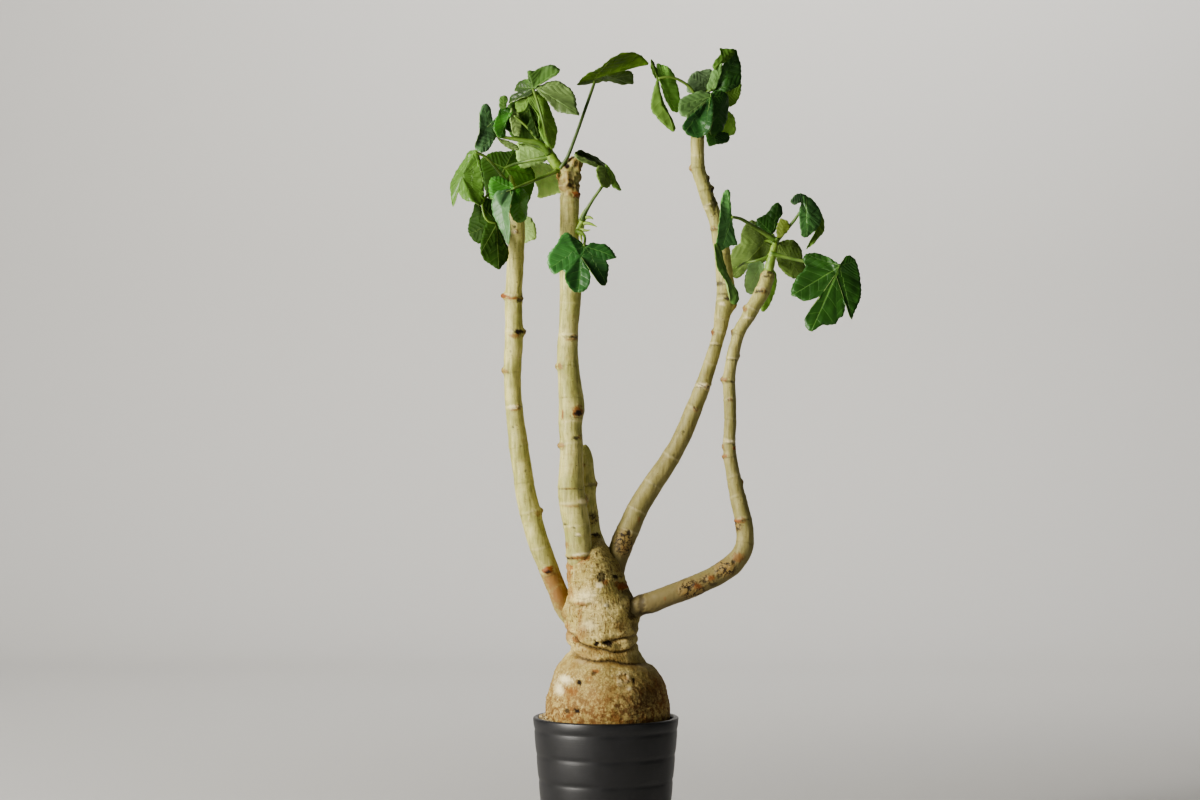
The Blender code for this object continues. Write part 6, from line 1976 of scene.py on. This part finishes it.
# colours both sides and thickens the sheet; a sheet seen from below has its under side in front
def paintSides(blade, front, back, under):
    storeColour(blade, "upper", back if under else front)
    storeColour(blade, "under", front if under else back)
    blade.data.materials.append(leafPaints[1 if under else 0])
    blade.data.materials.append(leafPaints[0 if under else 1])
    thick = blade.modifiers.new("thick", "SOLIDIFY")
    thick.thickness = bladeShape["thickness"] * mm
    thick.offset = -1
    thick.material_offset = 1
    thick.material_offset_rim = 0 if under else 1
    applyModifier(blade, thick)
    bpy.ops.object.shade_smooth()


def makeStalk(points, tone):
    line = evenLine([(*seenAt(row), row[3]) for row in points], stalkShape["spacing"])
    stalk = sweepTube("stalk", line, stalkShape["sides"])
    storeColour(stalk, "upper", np.full((len(stalk.data.vertices), 3), tone))
    dress(stalk, leafPaints[2])
    return stalk


def makeLeaf(name, leaf, seed):
    words = name.split("_")
    title = "blade" + words[1].capitalize() + words[2].capitalize()
    pieces = [makeSheet(title if i == 0 else "sheet", sheet, seed + i * bladeShape["sheetSeed"])
              for i, sheet in enumerate(leaf["sheets"])]
    pieces += [makeStalk(points, leaf.get("stalkTone", stalkShape["tone"])) for points in leaf["stalks"]]
    blade = joined(pieces)
    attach(blade, "root")
    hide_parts(name)


veinShape = {
    "taper": 0.035,
    "midrib": (0.065, 0.03),
    "sideVeins": 5.6,
    "stagger": 0.45,
    "sweep": -1.5,
    "bend": 1.2,
    "width": (0.44, 0.49),
    "fading": (1.3, 0.5),
    "midribTint": 0.7,
    "sideTint": 0.28,
    "bump": 1.0,
    "quilting": 0.9,
}
leafClouds = (0.3, 0.7, 0.75, 1.28)
leafNoises = {
    "clouds": (plain, 70, 3, 0.55),
    "fine": (plain, 900, 3, 0.55),
}
leafSides = {
    "upper": {"vein": (0.09, 0.16, 0.035), "roughness": 0.40, "shine": 0.36, "turn": 1},
    "under": {"vein": (0.13, 0.17, 0.05), "roughness": 0.65, "shine": 0.15, "turn": -1},
}
stalkLooks = {"dark": (0.10, 0.20, 0.025), "light": (0.20, 0.32, 0.06), "roughness": 0.45}


# veins from the blade's own lobe coordinates: the midrib, and side veins that branch off it
def addVeins(paint):
    layer = paint.nodes.new("ShaderNodeUVMap")
    layer.uv_map = "lobes"
    split = paint.nodes.new("ShaderNodeSeparateXYZ")
    paint.fill(split, {"Vector": layer.outputs["UV"]})
    ahead, across = split.outputs["X"], split.outputs["Y"]
    off = paint.math("ABSOLUTE", across)
    midrib = paint.step(paint.add(off, paint.times(ahead, veinShape["taper"])), *veinShape["midrib"])
    side = paint.times(paint.math("GREATER_THAN", across, 0.0), veinShape["stagger"])
    bent = paint.times(paint.math("POWER", off, veinShape["bend"]), veinShape["sweep"])
    place = paint.add(paint.add(paint.times(ahead, veinShape["sideVeins"]), bent), side)
    ridge = paint.offMiddle(paint.math("FRACT", place))
    lines = paint.times(paint.step(ridge, *veinShape["width"]), paint.step(off, *veinShape["fading"]))
    return midrib, lines, ridge


def leafPaint(name, side):
    paint = Paint(name)
    looks = leafSides[side]
    grain = paint.noises(leafNoises)
    midrib, lines, ridge = addVeins(paint)
    clouded = paint.spread(grain["clouds"], *leafClouds)
    colour = paint.mix(1.0, paint.stored(side), clouded, "MULTIPLY")
    veins = paint.add(paint.times(midrib, veinShape["midribTint"]), paint.times(lines, veinShape["sideTint"]))
    colour = paint.mix(veins, colour, paint.mix(1.0, colour, looks["vein"], "ADD"))
    return paint.finish(colour, looks["roughness"], looks["shine"], [
        (paint.times(ridge, -veinShape["quilting"] * looks["turn"]), 0.5, 0.0011),
        (paint.times(veins, -veinShape["bump"] * looks["turn"]), 0.6, 0.0005),
        (grain["fine"], 0.2, 0.0002),
    ])


def stalkPaint():
    paint = Paint("leafStalkGreen")
    patches = paint.noises({"patches": (plain, 60, 3, 0.55)})["patches"]
    colour = paint.mix(paint.step(patches, 0.35, 0.65), stalkLooks["dark"], stalkLooks["light"])
    return paint.finish(paint.mix(1.0, colour, paint.stored("upper"), "MULTIPLY"), stalkLooks["roughness"])


leafPaints = (leafPaint("leafUpperSide", "upper"), leafPaint("leafUnderSide", "under"), stalkPaint())
for leafSeed, (leafName, leafFacts) in enumerate(leaves.items()):
    makeLeaf(leafName, leafFacts, float(leafSeed))
print("leaves")
